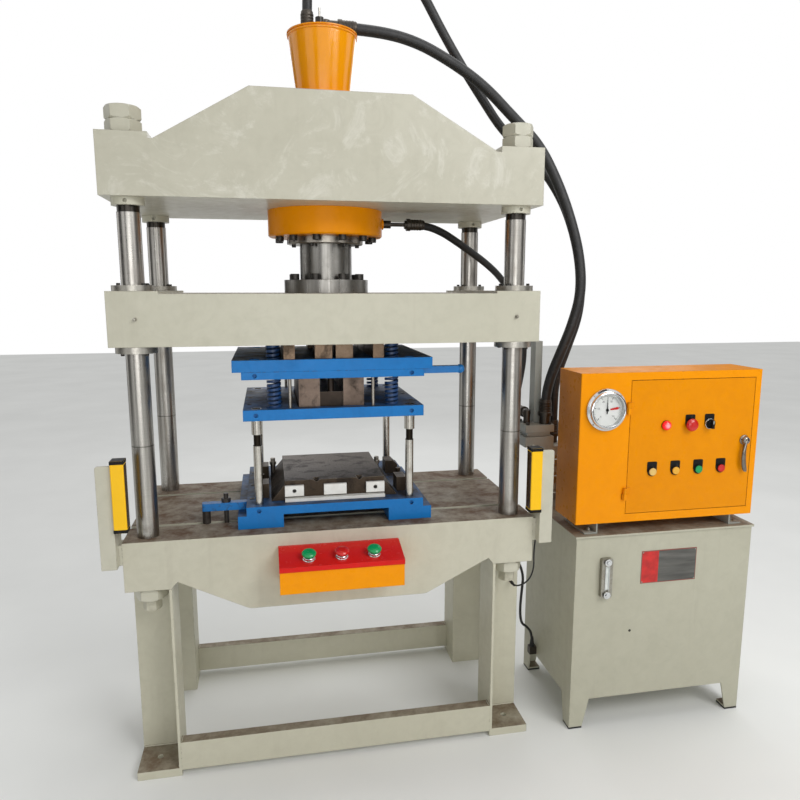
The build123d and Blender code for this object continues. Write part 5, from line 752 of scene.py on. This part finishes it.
def add_die_studs():
    """Small studs with collars that stand on the flanks of the die block, clear of the closed stripper."""
    r = 8
    top = 851
    sunk = 4
    studs = Maker()
    for x, y, base in ((-182, 105, 796), (165, 60, 818)):
        studs.turned([(0, base - sunk), (r, base - sunk), (r, top - 22), (1.4 * r, top - 22),
                      (1.4 * r, top - 12), (r, top - 12), (r, top - 1), (r - 1, top), (0, top)],
                     aim((x, y, 0), UP))
    studs.put("die_stop_studs", [STEEL], "ground_steel")


add_screws()
add_foot_bolts()
add_grease_nipples()
add_bracket_bolts()
add_die_studs()


# Sloped lid of the two-hand box
SLOPE_TOP = Vector((0, -298, 684))
SLOPE_ANGLE = math.atan2(23, 92)
LID_THICKNESS = 3.0
SLOPE_WAY = Vector((0, -math.cos(SLOPE_ANGLE), -math.sin(SLOPE_ANGLE)))
SLOPE_NORMAL = Vector((0, -math.sin(SLOPE_ANGLE), math.cos(SLOPE_ANGLE)))


def on_slope(x, down):
    """Place on the lid's outer face, a distance down its slope."""
    return Vector((x, 0, 0)) + SLOPE_TOP + down * SLOPE_WAY + LID_THICKNESS * SLOPE_NORMAL


def add_box_trim():
    collars = Maker()
    for x in (-92, 0, 92):
        matrix = aim(on_slope(x, 62), SLOPE_NORMAL)
        collars.turned([(14.6, 0), (17.5, 0), (17.5, 1.2), (15.6, 2.4), (15.6, 7.2), (14.6, 8.2), (7.2, 8.2)],
                       matrix, 40)
    collars.put("palm_collar_rings", [BRIGHT], "chrome")


add_box_trim()


# Tank front

def add_nameplate():
    thickness = 1.2
    inset = 5
    plate = Maker()
    plate.prism(rectangle(NAMEPLATE_X, NAMEPLATE_Z), 0, thickness, facing_front(TANK_FRONT), 0.4)
    plate.put("nameplate", [PLATE], "ground_steel")
    rivets = Maker()
    for x in (NAMEPLATE_X[0] + inset, NAMEPLATE_X[1] - inset):
        for z in (NAMEPLATE_Z[0] + inset, NAMEPLATE_Z[1] - inset):
            rivets.turned([(2.6, 0), (2.3, 0.9), (1.2, 1.5), (0, 1.7)],
                          aim((x, TANK_FRONT - thickness, z), FRONT), 14)
    rivets.put("nameplate_rivets", [ZINC], "ground_steel")


def add_level_gauge_trim():
    """Sight strip of the level gauge, with its two side bars and its bolts."""
    middle = 836
    sides = (829.6, 842.4)
    sight = Maker()
    sight.prism(rectangle(sides, (479, 555)), 11, 15, facing_front(TANK_FRONT), 1.0)
    sight.put("level_sight", [SIGHT], "white_insert")
    bars = Maker()
    for x in sides:
        bars.box((x - 0.9, x + 0.9), (TANK_FRONT - 18.2, TANK_FRONT - 14), (476, 558), 0.5)
    for z in (463, 571):
        bars.hex_bolt((middle, TANK_FRONT - 21, z), FRONT, 11, 4, washer=1)
    bars.put("level_gauge_trim", [BRIGHT], "chrome")


def add_tank_plug():
    plug = Maker()
    plug.turned([(4.5, 0), (4.0, 0.8), (2.2, 0.8), (2.0, 0.3), (0, 0.3)],
                aim((933, TANK_FRONT, 325), FRONT), 18)
    plug.put("tank_front_plug", [SCREW], "dark_steel")


add_nameplate()
add_level_gauge_trim()
add_tank_plug()


# Gauge, pilot lamp, selector and handle on the cabinet
GAUGE_X = 817
GAUGE_Z = 1052
GAUGE_FRONT = CABINET_FRONT - 18
DIAL_Y = GAUGE_FRONT + 12
PRINT_Y = DIAL_Y - 1.15
DIAL_START = 225
DIAL_SWEEP = 270
DIAL_MAX = 50


def dial_ways(degrees):
    """Directions outwards and sideways on the dial, at an angle from its right."""
    angle = math.radians(degrees)
    return Vector((math.cos(angle), 0, math.sin(angle))), Vector((-math.sin(angle), 0, math.cos(angle)))


def add_numeral(dial, words, x, z):
    """Figure on the dial, as flat faces that read from the front."""
    curve = bpy.data.curves.new("numerals", "FONT")
    curve.body = words
    curve.size = 0.008
    curve.align_x = "CENTER"
    curve.align_y = "CENTER"
    holder = bpy.data.objects.new("numerals", curve)
    data = bpy.data.meshes.new_from_object(holder)
    first = len(dial.mesh.faces)
    data.transform(Matrix.Translation((x / 1000, 0, z / 1000)) @ facing_front(PRINT_Y))
    dial.mesh.from_mesh(data)
    dial.mesh.faces.ensure_lookup_table()
    for made in dial.mesh.faces[first:]:
        made.material_index = 1
    bpy.data.objects.remove(holder)
    bpy.data.curves.remove(curve)
    bpy.data.meshes.remove(data)


def add_dial():
    dial = Maker()
    dial.turned([(49.4, 0), (49.4, 1.0), (0, 1.0)], aim((GAUGE_X, DIAL_Y, GAUGE_Z), FRONT), 64)
    centre = Vector((GAUGE_X, PRINT_Y, GAUGE_Z))
    outer = 44.5
    for step in range(DIAL_MAX + 1):
        along, across = dial_ways(DIAL_START - DIAL_SWEEP * step / DIAL_MAX)
        long = step % 10 == 0
        inner = 35.5 if long else 39.0 if step % 5 == 0 else 41.0
        half = 0.9 if long else 0.45
        corners = [centre + inner * along - half * across, centre + outer * along - half * across,
                   centre + outer * along + half * across, centre + inner * along + half * across]
        dial.face([dial.mesh.verts.new(corner / 1000) for corner in corners], 1)
    reach = 28.5
    for number in range(0, DIAL_MAX + 1, 10):
        angle = math.radians(DIAL_START - DIAL_SWEEP * number / DIAL_MAX)
        add_numeral(dial, str(number), GAUGE_X + reach * math.cos(angle), GAUGE_Z + reach * math.sin(angle))
    dial.put("gauge_dial", [DIAL, BLACK], "white_insert")


def add_limit_pointer():
    pointer = Maker()
    along, across = dial_ways(8)
    centre = Vector((GAUGE_X, DIAL_Y - 1.6, GAUGE_Z))
    outline = [(10, -2.4), (33, -4.2), (43, 0), (33, 4.2), (10, 2.4)]
    corners = [centre + out * along + aside * across for out, aside in outline]
    pointer.face([pointer.mesh.verts.new(corner / 1000) for corner in corners])
    pointer.put("gauge_limit_pointer", [BUTTON_RED], "button_red")


def add_gauge_rim():
    """Bezel, glass and flange screws of the gauge."""
    bezel = Maker()
    bezel.turned([(50.2, -2.0), (50.2, 3.4), (51.4, 5.0), (53.6, 5.6), (56.2, 4.4), (57.6, 1.6),
                  (57.6, -8.0), (64.6, -9.4), (65.6, -11.0), (65.6, -17.0)],
                 aim((GAUGE_X, GAUGE_FRONT, GAUGE_Z), FRONT), 72)
    bezel.put("gauge_bezel", [BRIGHT], "chrome")
    glass = Maker()
    glass.turned([(50.4, 0.2), (48, 1.2), (36, 2.8), (20, 3.9), (8, 4.3), (0, 4.4)],
                 aim((GAUGE_X, GAUGE_FRONT + 0.4, GAUGE_Z), FRONT), 64)
    glass.put("gauge_glass", [GLASS], "white_insert")
    heads = Maker()
    reach = 61.5
    for angle in DIAGONALS:
        place = (GAUGE_X + reach * math.cos(angle), CABINET_FRONT - 9, GAUGE_Z + reach * math.sin(angle))
        heads.turned([(2.6, 0), (2.4, 1.4), (1.2, 1.9), (0, 1.9)], aim(place, FRONT), 14)
    heads.put("gauge_screws", [ZINC], "ground_steel")


def add_lens():
    lens = Maker()
    lens.turned([(14.7, 0), (14.7, 3.4), (13.4, 6.4), (9.4, 9.4), (4.5, 10.6), (0, 10.9)],
                aim((PILOT_LAMP[0], BUTTON_FACE, PILOT_LAMP[1]), FRONT), 40)
    lens.put("pilot_dome", [LIT_RED], "button_red", "door")


def add_selector_trim():
    x, z = SELECTOR
    ring = Maker()
    ring.turned([(14.4, 0), (16.6, 0), (16.4, 2.0), (15.4, 2.8), (14.4, 2.4)],
                aim((x, BUTTON_FACE, z), FRONT), 40)
    ring.put("selector_ring", [BRIGHT], "chrome", "door")
    mark = Maker()
    mark.box((x - 1, x + 1), (CABINET_FRONT - 24.4, CABINET_FRONT - 23.8), (z + 2, z + 12), 0.2)
    mark.put("selector_mark", [WHITE], "white_insert", "selector")


def add_handle():
    """Cranked lever: round boss, neck and a blade that widens towards its end."""
    x, z = 1301, 938
    front = CABINET_FRONT - 0.3
    lever = Maker()
    lever.turned([(0, 0), (16, 0), (16, 3), (13.5, 5), (12, 12), (10.5, 15.5), (6, 17.2), (0, 17.6)],
                 aim((x, front, z), FRONT), 40)
    spine = [(0, 0, 4.0, 8.0), (-4, -14, 5.2, 7.2), (-7, -34, 6.4, 6.0), (-7, -56, 7.4, 4.8),
             (-4, -78, 8.2, 4.2), (1, -94, 8.0, 3.8), (4, -102, 5.0, 3.0)]
    rings = []
    for side, drop, half, thick in spine:
        bow = 11 + 3.5 * math.sin(math.pi * -drop / 110)
        section = [(half * math.cos(a), thick * math.sin(a)) for a in turns(12)]
        rings.append([lever.mesh.verts.new(Vector((x + side + across, front - bow + out, z + drop)) / 1000)
                      for across, out in section])
    lever.join(rings)
    lever.close(rings)
    piece = lever.put("lever_handle", [LEVER], "chrome", "handle", angle=50)
    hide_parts("door_handle")


add_dial()
add_limit_pointer()
add_gauge_rim()
add_lens()
add_selector_trim()
add_handle()


# Light curtains

def add_curtain_trim(name, side, low):
    """End caps and smoked window of one light curtain, whose housing starts at the height low."""
    caps = Maker()
    cap_x = sorted((side * 570.6, side * 606.4))
    for z in ((low - 0.6, low + 10), (low + 188, low + 198.6)):
        caps.box(cap_x, (-325.4, -286), z, 1.2)
    caps.put(f"curtain_caps_{name}", [BLACK], "black_plastic")
    window = Maker()
    window.box(sorted((side * 570.4, side * 573)), (-322, -290), (low + 12, low + 186), 0.4)
    window.put(f"curtain_window_{name}", [SMOKED], "black_plastic")


add_curtain_trim("left", -1, 768)
add_curtain_trim("right", 1, 750)


# Hose crimps and cable reliefs

def cord_ends(name):
    """Radius of a cord, and a matrix at each of its ends that looks along it."""
    diameter, _, route = CORD_ROUTES[name]
    ends = [(route[0], route[1]), (route[-1], route[-2])]
    return diameter / 2, [aim(start, Vector(towards) - Vector(start)) for start, towards in ends]


def add_crimps():
    crimps = Maker()
    for name in ("hose_1", "hose_2", "hose_3"):
        r, ends = cord_ends(name)
        outline = [(r * 0.6, -6), (r + 7, -6), (r + 7, 6), (r + 4.5, 8)]
        for ridge in range(4):
            z = 10 + 9 * ridge
            outline += [(r + 4.8, z), (r + 4.8, z + 5), (r + 3.4, z + 6.4)]
        outline += [(r + 3.6, 48), (r + 1.2, 52), (r - 0.5, 52)]
        for matrix in ends:
            crimps.turned(outline, matrix, 28)
    crimps.put("hose_crimps", [DARK_STEEL], "dark_steel")


def add_reliefs():
    """Tapered, ribbed strain reliefs of the two cables."""
    reliefs = Maker()
    for name, length in (("control_cable", 34.0), ("curtain_cable", 22.0)):
        r, ends = cord_ends(name)
        outline = [(0, 0), (2.1 * r, 0), (2.1 * r, 0.12 * length)]
        for rib in range(5):
            z = length * (0.16 + 0.15 * rib)
            wide = r * (1.85 - 0.13 * rib)
            outline += [(wide, z), (wide, z + 0.08 * length), (wide - 0.28 * r, z + 0.1 * length)]
        outline += [(1.18 * r, length), (0.9 * r, length)]
        for matrix in ends:
            reliefs.turned(outline, matrix, 20)
    reliefs.put("cable_reliefs", [RUBBER], "rubber")


add_crimps()
add_reliefs()


# Motor, manifold and bucket rim

def add_motor_trim():
    cover = Maker()
    axis = aim((1300, -18, 768), RIGHT)
    cover.turned([(80, -2), (84, 0), (84, 30), (78, 38), (20, 40), (20, 38.5), (0, 38.5)], axis, 48)
    for inner in (28, 40, 52, 64):
        outer = inner + 4
        cover.turned([(inner, 39.0), (inner, 40.8), (outer, 40.8), (outer, 38.6)], axis, 48)
    cover.put("motor_fan_cover", [GREY], "grey_paint")
    terminals = Maker()
    terminals.box((1105, 1190), (-58, 22), (848, 902), 2.0)
    terminals.box((1102, 1193), (-61, 25), (902, 906), 1.2)
    terminals.put("motor_terminal_box", [GREY], "grey_paint")


def add_manifold_plugs():
    plugs = Maker()
    for z in (700, 760, 820):
        plugs.hex_bolt((788, -4, z), FRONT, 19, 7, washer=2)
    for y in (20, 68):
        plugs.hex_bolt((742, y, 720), LEFT, 16, 6, washer=2)
    plugs.put("manifold_plugs", [ZINC], "ground_steel")


def add_bucket_rim():
    """Rolled bead round the bucket's mouth."""
    rim = Maker()
    profile = [(101.2 + 3.0 * math.cos(a), 3.0 * math.sin(a)) for a in turns(10)]
    rim.turned(profile + profile[:1], aim((0, 0, 2150), UP), 64)
    rim.put("bucket_rim_bead", [ORANGE_BUCKET], "orange_paint")


add_motor_trim()
add_manifold_plugs()
add_bucket_rim()


# Weld beads

def bead(maker, start, end, radius, seed):
    """Rippled bead along a straight seam."""
    start = Vector(start)
    end = Vector(end)
    count = max(6, int((end - start).length / 4))
    points = [start.lerp(end, k / count) for k in range(count + 1)]
    radii = [radius * (0.86 + 0.14 * math.sin(2.1 * k + seed) + 0.08 * math.sin(0.7 * k + 2 * seed))
             for k in range(count + 1)]
    radii[0] *= 0.5
    radii[-1] *= 0.5
    maker.sweep(points, radii)


def add_frame_welds():
    """Beads at each leg: on its foot plate, under the bed, and at the stretcher's end."""
    on_foot = 27
    under_bed = 580
    seams = []
    for x in (-1, 1):
        for y in (-1, 1):
            seams += [((x * 480, y * 282, on_foot), (x * 480, y * 172, on_foot)),
                      ((x * 482, y * 168, on_foot), (x * 596, y * 168, on_foot)),
                      ((x * 481, y * 282, under_bed), (x * 481, y * 172, under_bed)),
                      ((x * 484, y * 169, under_bed), (x * 594, y * 169, under_bed)),
                      ((x * 471, y * 283, 20), (x * 471, y * 283, 104)),
                      ((x * 470, y * 254, 107), (x * 470, y * 282, 107))]
    maker = Maker()
    for seam_number, (start, end) in enumerate(seams):
        bead(maker, start, end, 3.0, 0.9 * seam_number)
    maker.put("frame_weld_beads", [CREAM_LEG], "cream_paint", angle=60)


def add_tank_welds():
    maker = Maker()
    for x in (739, 1346):
        bead(maker, (x, -302, 12), (x, -302, 96), 1.6, x)
    maker.put("tank_weld_beads", [CREAM_TANK], "cream_paint", angle=60)


add_frame_welds()
add_tank_welds()


# Stage and light

def add_floor():
    mesh = bpy.data.meshes.new("floor")
    reach = 14.0
    mesh.from_pydata([(-reach, -reach, 0), (reach, -reach, 0), (reach, reach, 0), (-reach, reach, 0)], [],
                     [(0, 1, 2, 3)])
    floor = add_object("floor", mesh)
    s = Shader("pale_floor")
    shade = s.mix(s.band(s.noise(1.4, 3), 0.3, 0.7), "ebecea", "e5e6e4")
    mesh.materials.append(s.finish(shade, 0.95, Specular_IOR_Level=0.0))


def add_world(ambient):
    """White to the camera and in reflections, and dimmer where it lights the object."""
    world = bpy.data.worlds.new("studio")
    world.use_nodes = True
    bpy.context.scene.world = world
    tree = world.node_tree
    background = tree.nodes["Background"]
    path = tree.nodes.new("ShaderNodeLightPath")
    seen = path.outputs["Is Camera Ray"]
    for ray in ("Is Glossy Ray", "Is Transmission Ray"):
        either = tree.nodes.new("ShaderNodeMath")
        either.operation = "MAXIMUM"
        tree.links.new(seen, either.inputs[0])
        tree.links.new(path.outputs[ray], either.inputs[1])
        seen = either.outputs[0]
    strength = tree.nodes.new("ShaderNodeMapRange")
    tree.links.new(seen, strength.inputs["Value"])
    strength.inputs["To Min"].default_value = ambient
    strength.inputs["To Max"].default_value = 1.0
    tree.links.new(strength.outputs["Result"], background.inputs["Strength"])
    background.inputs["Color"].default_value = (1.0, 1.0, 1.0, 1.0)


def add_lamp(name, place, target, size, power):
    data = bpy.data.lights.new(name, "AREA")
    data.shape = "RECTANGLE"
    data.size, data.size_y = size
    data.energy = power
    lamp = add_object(name, data)
    lamp.location = place
    lamp.rotation_euler = (Vector(target) - Vector(place)).to_track_quat("-Z", "Y").to_euler()


def add_sky_light(strength, spread):
    """Even light from above, so that the floor stays pale to its far edge."""
    data = bpy.data.lights.new("ceiling", "SUN")
    data.energy = strength
    data.angle = math.radians(spread)
    lamp = add_object("ceiling", data)
    lamp.rotation_euler = (math.radians(-14), math.radians(10), 0)


def add_card(name, degrees, width, shade):
    """Upright panel that only reflections see, so that bright metal has something to mirror."""
    distance = 5.2
    height = 3.4
    half = width / 2
    angle = math.radians(degrees)
    mesh = bpy.data.meshes.new(name)
    mesh.from_pydata([(-half, 0, 0), (half, 0, 0), (half, 0, height), (-half, 0, height)], [], [(0, 1, 2, 3)])
    card = add_object(name, mesh)
    card.location = (distance * math.cos(angle), distance * math.sin(angle), 0.02)
    card.rotation_euler = (0, 0, angle + math.pi / 2)
    s = Shader(name)
    tone = s.mix(s.band(s.noise(0.8, 3), 0.35, 0.65), shade, "5a5a5a")
    mesh.materials.append(s.finish(tone, 0.9))
    card.visible_camera = False
    card.visible_diffuse = False
    card.visible_shadow = False
    card.visible_transmission = False


# Reflection panels: the angle round the press in degrees, the width in metres and the tone.
CARDS = [(-172, 3.4, "2a2a2a"), (-118, 1.3, "3a3a3a"), (-62, 1.0, "4a4a4a"), (-20, 3.2, "262626"),
         (32, 2.2, "303030"), (78, 1.6, "3c3c3c"), (124, 2.6, "2c2c2c")]

add_floor()
add_world(0.34)
add_lamp("key", (2.3, -3.5, 3.5), (0.2, 0.0, 1.1), (2.4, 1.8), 94.0)
add_lamp("fill", (-0.4, -4.5, 1.2), (0.2, 0.0, 0.7), (2.6, 1.6), 30.0)
add_lamp("back", (0.8, 3.6, 3.0), (0.3, 0.0, 1.0), (2.6, 1.6), 22.0)
add_sky_light(1.1, 60.0)
for card_number, (card_degrees, card_width, card_shade) in enumerate(CARDS):
    add_card(f"card_{card_number}", card_degrees, card_width, card_shade)

bpy.context.scene.view_settings.view_transform = "Standard"
